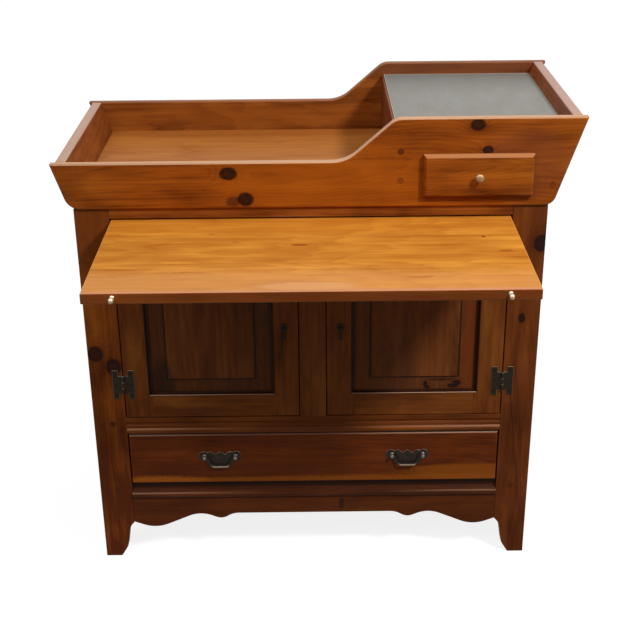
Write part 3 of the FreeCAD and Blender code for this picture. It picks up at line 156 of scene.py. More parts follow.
def tone(red, green, blue):
    """A colour written as on a screen, 0 to 255, as the renderer needs it."""
    parts = [value / 255 for value in (red, green, blue)]
    return tuple(((p + 0.055) / 1.055) ** 2.4 if p > 0.04045 else p / 12.92 for p in parts) + (1.0,)


def new_finish(name):
    """A new material, the start of its node tree, and its shader."""
    material = bpy.data.materials.new(name)
    material.use_nodes = True
    return material, Wire(material.node_tree), material.node_tree.nodes["Principled BSDF"]


def seen_directly(root):
    """1 to the camera, in reflections and through glass, and 0 to the light that surfaces throw around."""
    camera_ray, glossy_ray, through_ray = root.node("ShaderNodeLightPath", {}, {}, (0, 3, 6))
    return root.math("MAXIMUM", camera_ray, root.math("MAXIMUM", glossy_ray, through_ray))


SHADE_STRENGTH = 0.22
FLOOR_REACH = 25
FLOOR_LEVEL = -0.0004
lamp = linked("lamp", bpy.data.lights.new("lamp", "POINT"))
lamp.data.energy = 390
lamp.data.shadow_soft_size = 0.28
lamp.matrix_world = Matrix.Translation(at(1941, -1923, 3200))
soft_lamp = linked("soft_lamp", bpy.data.lights.new("soft_lamp", "SUN"))
soft_lamp.data.energy = 1.3
soft_lamp.data.angle = math.radians(50)
soft_lamp.matrix_world = Vector((-0.36, -0.36, 0.86)).to_track_quat("Z", "Y").to_matrix().to_4x4()

world = bpy.data.worlds.new("studio")
bpy.context.scene.world = world
world.use_nodes = True
sky = world.node_tree.nodes["Background"]
sky.inputs["Color"].default_value = (1, 1, 1, 1)
(SHADE_STRENGTH + (1 - SHADE_STRENGTH) * seen_directly(Wire(world.node_tree))).into(sky, "Strength")

floor_mesh = bpy.data.meshes.new("floor")
corners = [(x * FLOOR_REACH, y * FLOOR_REACH, FLOOR_LEVEL) for x, y in ((-1, -1), (1, -1), (1, 1), (-1, 1))]
floor_mesh.from_pydata(corners, [], [(0, 1, 2, 3)])
floor = linked("floor", floor_mesh)
floor_paint, root, matt = new_finish("pale_floor")
floor_mesh.materials.append(floor_paint)
matt.inputs["Base Color"].default_value = (0.30, 0.30, 0.30, 1)
matt.inputs["Roughness"].default_value = 0.9
matt.inputs["Specular IOR Level"].default_value = 0.0
matt.inputs["Emission Color"].default_value = (1, 1, 1, 1)
matt.inputs["Emission Strength"].default_value = 0.84
dim = root.node("ShaderNodeBsdfDiffuse", {}, {"Color": (0.16, 0.15, 0.14, 1)})
pale = Wire(root.tree, matt.outputs[0])
both = root.node("ShaderNodeMixShader", {}, {0: seen_directly(root), 1: dim, 2: pale})
both.into(floor_paint.node_tree.nodes["Material Output"], "Surface")

# ----------------------------------------------------------------
# Front legs: two flat pine boards from the tray down to the floor, cut to bracket feet at the inside.
# The varnish is dark red-brown, and knots show through it.


def place_in_mm(root):
    """The place of a point on the piece in mm, and its three parts."""
    point = root.node("ShaderNodeTexCoord", {}, {}, "Object")
    place = {"Vector": point, "Location": (-1000 * case_x, -1000 * face_y, 0), "Scale": (1000, 1000, 1000)}
    point = root.node("ShaderNodeMapping", {}, place)
    return point, root.node("ShaderNodeSeparateXYZ", {}, {"Vector": point}, (0, 1, 2))


def facing_of(root):
    """The three parts of the way that the surface faces."""
    normal = root.node("ShaderNodeNewGeometry", {}, {}, "Normal")
    return root.node("ShaderNodeSeparateXYZ", {}, {"Vector": normal}, (0, 1, 2))


def noted(root, name):
    """A number finished() has noted on each face: rounded arris (rubbing, painted highlight) or its board's
    number.
    """
    return root.node("ShaderNodeAttribute", {"attribute_name": name}, {}, "Fac")


def shaded(paint, shares, more=0):
    """A stain with its red, green and blue each made stronger or weaker."""
    return tone(*(min(255, value * share + more) for value, share in zip(paint, shares)))


def pine(name, grain, stain, knots=(), boards=0, heart=0, pith=55, climb=0.03, ring=7.0, figure=1.0,
         rings=0.2, wander=1.6, mottle=1.1, patchwork=0.2, deepest=(0.60, 0.50, 0.48), rim=None,
         rim_share=0.55, rim_top=None, rim_from=0.30, dip=None, front=None, field=None, foot=0, arris=0.3,
         wear_and_sheen_tone=None, gloss=0.42, seed=1, patches=()):
    """Varnished pine. grain names the axes along the grain, across the face and into the board. The rings of
    the log, whose heart lies pith mm behind the face, make the figure; boards is the width of the strips in a
    glued-up board. Knots and patches are given by their place and half size along and across the grain."""
    material, root, surface = new_finish(name)
    axes = place_in_mm(root)[1]
    along, across, inward = (axes["xyz".index(letter)] for letter in grain)
    piece = noted(root, "board") * 3.7 + seed
    strip = across - heart
    if boards:
        number = root.math("FLOOR", strip / boards)
        strip = strip - (number + 0.5) * boards
        piece = piece + number * 1.37
    chance = root.node("ShaderNodeTexWhiteNoise", {"noise_dimensions": "1D"}, {"W": piece})
    run = along + chance * 4000
    if boards:
        other = root.node("ShaderNodeTexWhiteNoise", {"noise_dimensions": "1D"}, {"W": piece + 41.3})
        strip = strip + (other - 0.5) * boards * 0.9
    fields = root.node("ShaderNodeCombineXYZ", {}, {0: run, 1: across + seed * 31, 2: inward})

    def cloud(along_scale, across_scale, detail=2.0, rough=0.5):
        stretch = (along_scale, across_scale, across_scale)
        spread = root.node("ShaderNodeVectorMath", {"operation": "MULTIPLY"}, {0: fields, 1: stretch})
        sockets = {"Vector": spread, "Scale": 1.0, "Detail": detail, "Roughness": rough}
        return root.node("ShaderNodeTexNoise", {}, sockets) - 0.5

    def away(spot_along, spot_across, half_along, half_across):
        """How far off a spot a point lies: 0 in its middle and 1 on its edge."""
        du = (along - spot_along) / half_along
        dv = (across - spot_across) / half_across
        return root.math("SQRT", du * du + dv * dv)

    side = strip + cloud(0.0016, 0.001, 1.0) * 150
    depth = inward + pith + cloud(0.0021, 0.0016, 1.0) * 70 + along * climb
    radius = root.math("SQRT", side * side + depth * depth)
    ripple = cloud(0.11, 0.11, 2.0)
    dark, eye, halo = 0, 0, 0
    for knot in knots:
        reach = away(*knot) + ripple * 0.35
        swirl = root.math("EXPONENT", reach * reach * -0.42)
        dark = root.math("MAXIMUM", dark, reach.step(1.20, 0.85))
        eye = root.math("MAXIMUM", eye, reach.step(0.95, 0.25))
        halo = halo + swirl
        radius = radius + swirl * (knot[3] * 1.6)
    phase = radius / ring + cloud(0.006, 0.05, 2.0) * wander
    part = root.math("FRACT", phase)
    late = part ** 2.6 - part.step(0.93, 1.0) * part
    streak = cloud(0.0035, 0.075, 3.0, 0.6)
    blotch = cloud(0.007, 0.022, 2.0, 0.55)
    fibre = cloud(0.03, 0.9, 2.0, 0.6)
    level = 0.44 + late * rings + streak * (0.85 * figure) + blotch * (mottle * figure) + fibre * 0.3
    if boards:
        level = level + (chance - 0.5) * patchwork
    if knots:
        level = level + halo * 0.28
    # Darker towards the floor: painted shade, for light that falls off downwards.
    if foot:
        level = level + axes[2].step(560, 60) * foot

    def stained(paint):
        pale = shaded(paint, (1.19, 1.27, 1.30), 3)
        stops = [(0.0, pale), (0.44, tone(*paint)), (1.0, shaded(paint, deepest))]
        return root.node("ShaderNodeValToRGB", {"stops": stops}, {"Fac": level})

    colour = stained(stain)
    for *spot, share, paint in patches:
        cover = away(*spot) + ripple * 0.4 + streak * 0.7
        colour = (cover.step(1.2, 0.6) * share).mix(colour, tone(*paint))
    if knots:
        ring_tone = shaded(stain, (0.21, 0.17, 0.36))
        eye_tone = shaded(stain, (0.36, 0.37, 0.85))
        knot_colour = (eye * (0.7 + ripple * 1.5)).mix(ring_tone, eye_tone)
        colour = (dark * (0.94 + ripple * 0.4)).mix(colour, knot_colour)
    # Panel margins: painted shade. The margin round the raised field is darkened by a share, more along the
    # moulding, and a dark line at the field's edge is a painted shadow of its step.
    if field:
        half_across, half_along, middle_across, middle_along, margin, depth_share = field
        beyond = root.math("MAXIMUM", root.math("ABSOLUTE", across - middle_across) - half_across,
                           root.math("ABSOLUTE", along - middle_along) - half_along)
        line = root.math("ABSOLUTE", beyond - 1.5).step(3.0, 1.1)
        painted_margin_shade = shaded(stain, (0.22, 0.22, 0.22))
        colour = (beyond.step(0.0, 2.0) * (depth_share - blotch * 0.9)).mix(colour, painted_margin_shade)
        colour = (beyond.step(margin - 6, margin - 1) * 0.75).mix(colour, painted_margin_shade)
        colour = (line * 0.85).mix(colour, painted_margin_shade)
    facing = facing_of(root)
    # Faces that look forward take the front tone: painted shade against the lit top.
    if front:
        colour = (0 - facing[1]).step(0.35, 0.75).mix(colour, stained(front))
    # Rounded arrises are paler where they look up: partly rubbing, partly a painted highlight.
    rub_and_glint = tone(*wear_and_sheen_tone) if wear_and_sheen_tone else shaded(stain, (1.1, 1.1, 1.1), 26)
    worn = noted(root, "worn") * facing[2].step(0.05, 0.75) * (arris + streak * 0.8)
    colour = worn.mix(colour, rub_and_glint)
    # Faces that look up, on rims, beads and top edges, take the rim tone: a painted highlight.
    if rim:
        share = rim_share + streak * 0.35
        if rim_top:
            share = share * axes[2].step(rim_top + 1, rim_top - 1)
        if dip:
            share = share * (1 - root.math("ABSOLUTE", along - dip[0]).step(dip[1], dip[1] * 0.3) * dip[2])
        colour = (facing[2].step(rim_from, rim_from * 0.4 + 0.68) * share).mix(colour, tone(*rim))
    colour.into(surface, "Base Color")
    (gloss + blotch * 0.22 + fibre * 0.10 + dark * 0.08).into(surface, "Roughness")
    surface.inputs["Specular IOR Level"].default_value = 0.06
    relief = late * 0.5 + fibre * 0.6
    bump = root.node("ShaderNodeBump", {}, {"Strength": 0.2, "Distance": 0.0004, "Height": relief})
    bump.into(surface, "Normal")
    return material


def solids_of(mesh):
    """For each face of a mesh, the number of the separate solid that it belongs to."""
    shape = bmesh.new()
    shape.from_mesh(mesh)
    number = [-1] * len(shape.faces)
    shape.faces.ensure_lookup_table()
    count = 0
    for start in shape.faces:
        if number[start.index] >= 0:
            continue
        number[start.index] = count
        ahead = [start]
        while ahead:
            for edge in ahead.pop().edges:
                for face in edge.link_faces:
                    if number[face.index] < 0:
                        number[face.index] = count
                        ahead.append(face)
        count += 1
    shape.free()
    return number


def plain_mesh(piece):
    """A piece's mesh with its modifiers applied."""
    bpy.context.view_layer.update()
    return bpy.data.meshes.new_from_object(piece.evaluated_get(bpy.context.evaluated_depsgraph_get()))


def finished(piece, body, material, slot, *nodes):
    """Applies a piece's modifiers, notes its boards and its rounded arrises, and seats it on its body."""
    mesh = plain_mesh(piece)
    piece.modifiers.clear()
    piece.data = mesh
    worn = mesh.attributes.new("worn", "FLOAT", "FACE")
    board = mesh.attributes.new("board", "FLOAT", "FACE")
    number = solids_of(mesh)
    for face in mesh.polygons:
        worn.data[face.index].value = face.material_index
        board.data[face.index].value = number[face.index]
        face.material_index = 0
    mesh.materials.clear()
    mesh.materials.append(material)
    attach(piece, body)
    if nodes:
        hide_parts(*nodes)
    return piece


def merged_copy(name, node):
    """A new object with the merged mesh of a CAD piece."""
    shape = bmesh.new()
    shape.from_mesh(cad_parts[node].data)
    bmesh.ops.remove_doubles(shape, verts=shape.verts, dist=2e-6)
    bmesh.ops.dissolve_limit(shape, angle_limit=math.radians(0.4), verts=shape.verts, edges=shape.edges)
    for face in shape.faces:
        face.smooth = True
        face.material_index = 0
    mesh = bpy.data.meshes.new(name)
    shape.to_mesh(mesh)
    shape.free()
    return linked(name, mesh)


def soften(piece, width, angle=40):
    """Rounds a piece's sharp arrises, as sandpaper does. Their faces get the second material's number."""
    while len(piece.data.materials) < 2:
        piece.data.materials.append(None)
    bevel = piece.modifiers.new("arrises", "BEVEL")
    bevel.width = width
    bevel.segments = 2
    bevel.material = 1
    bevel.use_clamp_overlap = False
    bevel.limit_method = "ANGLE"
    bevel.angle_limit = math.radians(angle)
    shading = piece.modifiers.new("shading", "WEIGHTED_NORMAL")
    shading.keep_sharp = True


def eased(node, body, material, slot, width=0.0012):
    """A CAD board with its arrises sanded round."""
    piece = merged_copy(node + "_eased", node)
    soften(piece, width)
    return finished(piece, body, material, slot, node)


# Both legs are painted darker towards the floor, painted shade, and the left leg's top, above the shelf, is
# patched darker, painted shade.
left_leg_pine = pine("left_leg_pine", "zxy", (142, 72, 20), seed=3, heart=-440, pith=34, ring=6.0, foot=0.55,
                     figure=1.2, rings=0.15, patches=[(790, -430, 130, 90, 0.75, (104, 48, 15))],
                     knots=[(487, -434, 17, 15), (457.5, -399.6, 18, 15), (612, -422, 3, 3)])
right_leg_pine = pine("right_leg_pine", "zxy", (111, 55, 19), seed=8, heart=405, pith=40, ring=6.5, foot=0.22,
                      figure=1.1, rings=0.15, knots=[(714, 442, 17, 14), (556.5, 414, 10, 6.5)])
eased("front_left_leg", "cabinet", left_leg_pine, "case_pine", 0.0015)
eased("front_right_leg", "cabinet", right_leg_pine, "case_pine", 0.0015)

# ----------------------------------------------------------------
# Case: side panels of glued-up pine with an arch at the floor, and a back of matched boards with V joints.
# The sides are stained like the legs. The back is plainer stuff, thinly stained and left dull.

SIDE_STAIN = (116, 56, 20)
side_figure = {"pith": 26, "ring": 4.6, "figure": 0.8, "mottle": 0.3, "wander": 0.7, "rings": 0.34,
               "patchwork": 0.35}
left_side_pine = pine("left_side_pine", "zyx", SIDE_STAIN, seed=11, boards=118, heart=-20,
                      knots=[(560, 150, 13, 11), (300, 322, 10, 8)], **side_figure)
right_side_pine = pine("right_side_pine", "zyx", SIDE_STAIN, seed=17, boards=121, heart=-14,
                       knots=[(640, 290, 12, 10), (235, 130, 9, 8)], **side_figure)
eased("left_side_panel", "cabinet", left_side_pine, "case_pine", 0.0015)
eased("right_side_panel", "cabinet", right_side_pine, "case_pine", 0.0015)
back_pine = pine("back_pine", "zxy", (168, 104, 50), seed=23, boards=143, heart=-286, pith=30, ring=5.2,
                 gloss=0.62, figure=0.7, mottle=0.4, wander=0.7, rings=0.34, patchwork=0.5,
                 knots=[(520, -210, 14, 12), (330, 75, 10, 9), (660, 300, 12, 10)])
eased("back_panel", "cabinet", back_pine, "inner_pine", 0.0008)

# ----------------------------------------------------------------
# Front frame: rails jointed between the legs and a post between the doors. The rail over the drawer has a
# bead and a scratched line, and the one under it a hollow over its bead, both run with a moulding plane.

# Both beaded rails carry a painted highlight on the parts of their beads that look up, weaker near the
# middle.
rail_pine = pine("rail_pine", "xzy", (110, 55, 18), seed=29, heart=700, pith=30, ring=4.5,
                 rim=(184, 132, 98), rim_share=0.6, rim_top=317, rim_from=0.45, dip=(-20, 330, 0.75))
top_rail_pine = pine("top_rail_pine", "xzy", (128, 66, 21), seed=31, heart=760, pith=24, ring=4.0, figure=1.8)
post_pine = pine("post_pine", "zxy", (119, 64, 24), seed=34, heart=6, pith=30, ring=5.0)
# The lower rail's dark patch along its hollow, under the drawer, is painted shade.
low_rail_pine = pine("low_rail_pine", "xzy", (72, 33, 12), seed=37, heart=300, pith=26, ring=4.5,
                     rim=(176, 132, 100), rim_share=0.42, rim_top=161, rim_from=0.62, dip=(20, 330, 0.95),
                     patches=[(0, 175, 1500, 9, 0.9, (40, 19, 8))])
eased("top_rail", "cabinet", top_rail_pine, "case_pine", 0.0008)
eased("shelf_rail", "cabinet", rail_pine, "case_pine", 0.0008)
eased("centre_stile", "cabinet", post_pine, "case_pine", 0.0008)
BEAD_RADIUS = 6


def half_round(centre_z):
    """The bead of a rail as points (y, z) from its lower to its upper side."""
    turns = [math.radians(262 - 164 * i / 14) for i in range(1, 14)]
    return [(1 + BEAD_RADIUS * math.cos(a), centre_z + BEAD_RADIUS * math.sin(a)) for a in turns]


def prism(shape, *outlines):
    """Closes the space between two like outlines with a face on each and walls between them."""
    near, far = ([shape.verts.new(point) for point in outline] for outline in outlines)
    shape.faces.new(near)
    shape.faces.new(reversed(far))
    for i in range(len(near)):
        j = (i + 1) % len(near)
        shape.faces.new((near[i], far[i], far[j], near[j]))


def solid_object(name, shape, smooth=True, sharp=None):
    """Makes a new object of a mesh under work, its faces turned outwards. sharp is an angle in degrees."""
    bmesh.ops.recalc_face_normals(shape, faces=shape.faces)
    for face in shape.faces:
        face.smooth = smooth
    mesh = bpy.data.meshes.new(name)
    shape.to_mesh(mesh)
    shape.free()
    if sharp:
        mesh.set_sharp_from_angle(angle=math.radians(sharp))
    return linked(name, mesh)


mid_profile = [(22, 302), (1.2, 302), (0.4, 302.6), *half_round(309), (0.9, 315.4), (0.9, 316.2),
               (0.1, 316.9), (0, 321.4), (0.9, 322.6), (2.4, 324.2), (3.0, 325.6), (2.4, 327.2),
               (1.0, 328.8), (0, 330.0), (0, 339.3), (0.7, 340), (22, 340)]
low_profile = [(22, 146), (0.8, 146), (0, 146.7), *half_round(153), (0.6, 159.2), (1.0, 160.4), (2.2, 161.8),
               (4.2, 163.2), (6.2, 164.4), (7.5, 165.8), (8, 167.6), (8, 181.5), (22, 181.5)]
for node, profile, paint in (("mid_rail", mid_profile, rail_pine),
                             ("lower_rail", low_profile, low_rail_pine)):
    shape = bmesh.new()
    prism(shape, *([(end.x, face_y + y / 1000, z / 1000) for y, z in profile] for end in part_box(node)))
    finished(solid_object(node + "_moulded", shape, sharp=32), "cabinet", paint, "case_pine", node)

# ----------------------------------------------------------------
# Apron: a board under the drawer whose lower edge is sawn to a scallop, the same to both sides.
# It is the darkest board of the front, with the smear of a small knot right of the middle.

apron_pine = pine("apron_pine", "xzy", (86, 39, 12), seed=41, heart=190, pith=38, ring=5.5,
                  patches=[(58, 128, 7, 17, 0.8, (44, 20, 9)), (84, 130, 16, 20, 0.3, (54, 26, 12))])
eased("front_apron", "cabinet", apron_pine, "case_pine", 0.0010)

# ----------------------------------------------------------------
# Inside of the case: floor, shelf on cleats, the drawer's runners and the shelf's grooved guides.
# Plain pine boards nailed and glued in, with no more than a thin coat on them.


def dress(material, *nodes):
    """Gives CAD pieces their finish."""
    for node in nodes:
        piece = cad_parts[node]
        for slot in piece.material_slots:
            slot.material = material
        if not piece.material_slots:
            piece.data.materials.append(material)


INNER_STAIN = (176, 112, 56)
plain_figure = {"gloss": 0.6, "figure": 0.6, "mottle": 0.4}
inner_long_pine = pine("inner_long_pine", "xyz", INNER_STAIN, seed=43, boards=132, ring=8, **plain_figure)
inner_deep_pine = pine("inner_deep_pine", "yzx", INNER_STAIN, seed=47, ring=7, **plain_figure)
inner_rail_pine = pine("inner_rail_pine", "xzy", INNER_STAIN, seed=53, ring=7, **plain_figure)
dress(inner_long_pine, "cabinet_floor", "inner_shelf")
dress(inner_deep_pine, "inner_shelf_cleats", "drawer_runners", "pullout_guides", "small_drawer_guides")
dress(inner_rail_pine, "rear_rail", "door_catches")

# ----------------------------------------------------------------
# Tray: front and back boards that sweep up to the raised end, two leaning ends and a floor. The boards are
# knotty amber pine, screwed from outside, and their rounded rims carry a pale painted highlight where they
# look up.

front_board_pine = pine(
    "front_board_pine", "xzy", (141, 70, 15), seed=59, heart=868, pith=30, climb=0.02, ring=6.0, figure=1.2,
    rings=0.26, rim=(205, 157, 120), rim_share=1.0, arris=0.15,
    knots=[(-154, 861.7, 16, 12.5), (-123, 811, 14.5, 13), (309, 950.6, 13.5, 10.5), (329, 902.5, 10, 8)],
    patches=[(20, 850, 230, 70, 0.45, (165, 86, 15)), (-146, 807, 15, 11, 0.8, (80, 37, 12)),
             (-480, 850, 60, 60, 0.45, (112, 54, 17)), (400, 880, 90, 70, 0.45, (124, 64, 34)),
             (100, 925, 90, 40, 0.3, (160, 80, 17))])
back_board_pine = pine(
    "back_board_pine", "xzy", (138, 74, 26), seed=61, heart=850, pith=34, ring=6.5, figure=1.2, rings=0.24,
    arris=0.1, rim=(168, 118, 90), rim_share=0.45,
    patches=[(-150, 850, 320, 24, 0.4, (156, 84, 26)), (300, 950, 260, 20, 0.65, (114, 66, 42))])
left_end_pine = pine("left_end_pine", "yzx", (142, 76, 30), seed=67, heart=840, pith=36, ring=6.0,
                     rim=(200, 164, 144), rim_share=0.85)
right_end_pine = pine("right_end_pine", "yzx", (138, 72, 32), seed=71, heart=880, pith=36, ring=6.0,
                      rim=(196, 164, 150), rim_share=0.75)
# The well's floor is patched darker along the back board, painted shade, and paler towards the front, a
# painted sheen.
well_pine = pine(
    "well_pine", "xyz", (180, 112, 51), seed=73, boards=146, heart=40, ring=8, gloss=0.38, figure=0.6,
    mottle=0.8, deepest=(0.80, 0.66, 0.48),
    patches=[(-160, 409, 9, 7, 0.7, (150, 66, 26)), (-66, 350, 9, 7, 0.4, (140, 78, 30)),
             (-150, 440, 420, 60, 0.62, (144, 80, 30)), (-150, 40, 420, 130, 0.55, (196, 144, 102))])
eased("sink_front_board", "cabinet", front_board_pine, "tray_pine")
eased("sink_back_board", "cabinet", back_board_pine, "tray_pine")
eased("sink_left_end", "cabinet", left_end_pine, "tray_pine")
eased("sink_right_end", "cabinet", right_end_pine, "tray_pine")
dress(well_pine, "sink_floor")

# ----------------------------------------------------------------
# Raised end: a wall across the tray, a board on it and a sheet of dull grey zinc over the board, its left
# edge turned down over the wall. The sheet has gone cloudy. Its rounded edges, the folded one among them, are
# brighter from rubbing and from a painted highlight where they look up, and along its back edge a band of
# painted shade ends in a thin painted highlight.

END_STAIN = (112, 55, 22)
wall_pine = pine("wall_pine", "yzx", END_STAIN, seed=79, heart=870, pith=40, ring=6.5)
top_board_pine = pine("top_board_pine", "yxz", END_STAIN, seed=80, heart=300, pith=40, ring=6.5, arris=1.0)
dress(wall_pine, "compartment_wall")
eased("compartment_top", "cabinet", top_board_pine, "tray_pine")


def metal(name, dull, bright, metallic, rough, cloud_size, cloud_share, edge_share, stretch=(1, 1, 1),
          patina=None, glint_shares=(0, 0), below=None, painted_back_shade=None):
    """An old metal skin: a dull ground with cloudy patches, and brighter metal on rounded edges, partly
    from rubbing and partly a painted highlight where they look up. Two given shares paint the faces that look
    up and those that look forward brighter, a painted highlight, and below a given height that stops. A
    given back edge gets a band of painted shade with a thin painted highlight at the edge: the edge's depth,
    the band's width and its share."""
    material, root, surface = new_finish(name)
    point, (_, depth, height) = place_in_mm(root)
    point = root.node("ShaderNodeVectorMath", {"operation": "MULTIPLY"}, {0: point, 1: stretch})

    def clouds(scale, detail):
        sockets = {"Vector": point, "Scale": scale / cloud_size, "Detail": detail, "Roughness": 0.6}
        return root.node("ShaderNodeTexNoise", {}, sockets) - 0.5

    coarse, fine = clouds(1, 4.0), clouds(7, 3.0)
    facing = facing_of(root)
    upward = facing[2].step(0.0, 0.85)
    # Rounded edges are brighter, more where they look up, and faces that look up or forward are made brighter
    # by the two given shares: rubbing and painted highlights.
    rub_and_glint = noted(root, "worn") * (0.35 + upward * 0.65) * edge_share
    painted_glint = upward * glint_shares[0] + (0 - facing[1]).step(0.7, 1.0) * glint_shares[1]
    if below is not None:
        painted_glint = painted_glint * height.step(below + 3, below - 1)
    rub_and_glint = (root.math("MAXIMUM", rub_and_glint, painted_glint) * (1 + fine * 1.2)).step(0.0, 1.0)
    ground = ((coarse + fine * 0.5) * cloud_share + 0.5).step(0.0, 1.0)
    second = patina or tuple(value * 0.7 + other * 0.3 for value, other in zip(dull, bright))
    skin = ground.mix(tone(*dull), tone(*second))
    # A band of painted shade towards the back edge, and a thin painted highlight at the edge itself.
    if painted_back_shade:
        edge, reach, share = painted_back_shade
        skin = ((depth + coarse * 60).step(edge - reach, edge) * share).mix(skin, tone(50, 46, 40))
        skin = (depth.step(edge - 14, edge - 8) * 0.3).mix(skin, tone(182, 150, 122))
    rub_and_glint.mix(skin, tone(*bright)).into(surface, "Base Color")
    surface.inputs["Metallic"].default_value = metallic
    surface.inputs["Specular IOR Level"].default_value = 0.1
    (rough + coarse * 0.25 - rub_and_glint * 0.08).into(surface, "Roughness")
    bump = root.node("ShaderNodeBump", {}, {"Strength": 0.25, "Distance": 0.0003, "Height": coarse + fine})
    bump.into(surface, "Normal")
    return material


zinc = metal("dull_zinc", (134, 132, 124), (206, 184, 158), 0.15, 0.6, 30.0, 1.3, 1.0, (1, 0.35, 1),
             (150, 148, 142), painted_back_shade=(1000 * (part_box("work_surface_insert")[1].y - face_y), 190, 0.34))
eased("work_surface_insert", "cabinet", zinc, "zinc_sheet", 0.0009)

# ----------------------------------------------------------------
# Pull-out shelf: a wide board of glued-up pine that slides out under the tray on grooved guides.
# It is the palest wood of the piece, honey on top with a painted sheen towards its front and painted
# shade at its back, a front edge painted darker as shade, and two brass knobs.

# The front tone paints shade on the shelf's front edge. Of the patches, the band at the back is painted shade
# by the case, and the two bands along the front are a painted sheen.
shelf_pine = pine(
    "shelf_pine", "xyz", (199, 127, 45), seed=83, boards=128, heart=-350, ring=6.0, pith=42, figure=0.9,
    rings=0.2, gloss=0.38, front=(112, 55, 18), arris=0.7, deepest=(0.80, 0.66, 0.40), mottle=0.9,
    patches=[(0, -10, 700, 75, 0.4, (186, 106, 22)), (0, -345, 900, 95, 0.55, (212, 146, 84)),
             (0, -352, 900, 13, 0.6, (202, 140, 112)), (-371, -82, 34, 8, 0.5, (158, 88, 22)),
             (-349, -156, 26, 9, 0.5, (158, 88, 26)), (-322, -118, 34, 7, 0.4, (164, 92, 26)),
             (-30, -150, 66, 26, 0.35, (178, 100, 32)), (-20, -138, 17, 5, 0.8, (136, 70, 14)),
             (-184, -80, 6, 4, 0.45, (164, 94, 24)), (-138, -120, 7, 4, 0.45, (160, 90, 24)),
             (314, -105, 4.5, 5, 0.85, (124, 60, 10)), (-242, -225, 8, 5, 0.4, (168, 98, 36)),
             (368, -190, 44, 26, 0.3, (184, 102, 34)), (346, -176, 15, 5, 0.6, (140, 72, 16)),
             (372, -207, 24, 5, 0.5, (150, 80, 22)), (183, -290, 25, 8, 0.6, (172, 102, 42)),
             (183, -284, 21, 4.5, 0.7, (216, 144, 74)), (-12, -325, 94, 24, 0.45, (178, 116, 64)),
             (-8, -327, 87, 18, 0.6, (222, 162, 106))])
eased("pullout_shelf", "pullout_shelf", shelf_pine, "top_pine")
dress(inner_deep_pine, "pullout_stops")


def lathe(shape, profile, steps, seat):
    """Adds the walls of a turned form. Its profile's points are (radius, reach), and seat places them."""
    rounds = []
    for radius, reach in profile:
        turns = [2 * math.pi * i / steps for i in range(steps if radius else 1)]
        rounds.append([shape.verts.new(seat(radius * math.cos(a), reach, radius * math.sin(a)))
                       for a in turns])
    for low, high in zip(rounds, rounds[1:]):
        for i in range(steps):
            j = (i + 1) % steps
            corners = [low[i % len(low)], low[j % len(low)], high[j % len(high)], high[i % len(high)]]
            corners = list(dict.fromkeys(corners))
            if len(corners) > 2:
                shape.faces.new(corners)
    return rounds


def turned(name, spots, profile, body, material, slot, node, steps=28):
    """Turned pieces on the same profile, its points as (radius, reach) in mm, that stand out along -Y from
    spots in the frame."""
    shape = bmesh.new()
    for spot in spots:
        lathe(shape, profile, steps, lambda x, reach, z: spot + Vector((x, -reach, z)) / 1000)
    return finished(solid_object(name, shape, sharp=50), body, material, slot, node)


KNOB_RADIUS = 0.005
# The knobs' faces that look up and forward carry a painted highlight.
shelf_brass = metal("shelf_brass", (128, 100, 70), (228, 204, 172), 0.6, 0.34, 6.0, 1.0, 0.0, glint_shares=(1.0, 0.25))
shelf_knob = [(0, -2), (4.5, -2), (4.5, 0.6), (4.1, 1.3), (3.0, 1.7), (2.3, 2.6), (2.1, 5.4), (2.5, 7.0),
              (3.7, 8.4), (4.7, 10.2), (5.0, 12.4), (4.6, 14.4), (3.6, 15.9), (2.0, 16.8), (0, 17.0)]
low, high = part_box("pullout_knobs")
spots = [Vector((x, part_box("pullout_shelf")[0].y, (low.z + high.z) / 2))
         for x in (low.x + KNOB_RADIUS, high.x - KNOB_RADIUS)]
turned("shelf_knobs_turned", spots, shelf_knob, "pullout_shelf", shelf_brass, "brass", "pullout_knobs")

# ----------------------------------------------------------------
# Doors: stiles and rails round a raised panel, with a bead and cove moulding let in round the panel.
# Each door hangs at its outer side. The grain of stiles and panels is upright and that of rails level.

DOOR_STAIN = (116, 61, 21)
FRAME_WIDTH = 0.055
MOULDING = 6.3
REBATE_DEPTH = 0.014
FIELD_HALF_WIDTH = 87.9
FIELD_HALF_HEIGHT = 108.5
door_stile_pine = pine("door_stile_pine", "zxy", DOOR_STAIN, seed=89, heart=-355, pith=34, ring=5.5,
                       figure=1.4, rings=0.15)
door_rail_pine = pine("door_rail_pine", "xzy", DOOR_STAIN, seed=97, heart=360, pith=30, ring=6.0, figure=1.3,
                      rings=0.15)
# The moulding is stained very dark, and its bead is pale where it looks up: a painted highlight.
moulding_pine = pine("moulding_pine", "xzy", (52, 26, 12), seed=99, ring=5.0, wear_and_sheen_tone=(214, 172, 146),
                     arris=0.85)
bead_and_cove = [(0.0, 0.0), (0.25, -0.7), (0.9, -1.0), (1.7, -0.6), (2.1, 0.3), (2.3, 1.6), (2.9, 3.4),
                 (3.9, 5.0), (5.1, 6.1), (MOULDING, 6.5), (MOULDING, 6.9), (0.0, 6.9)]


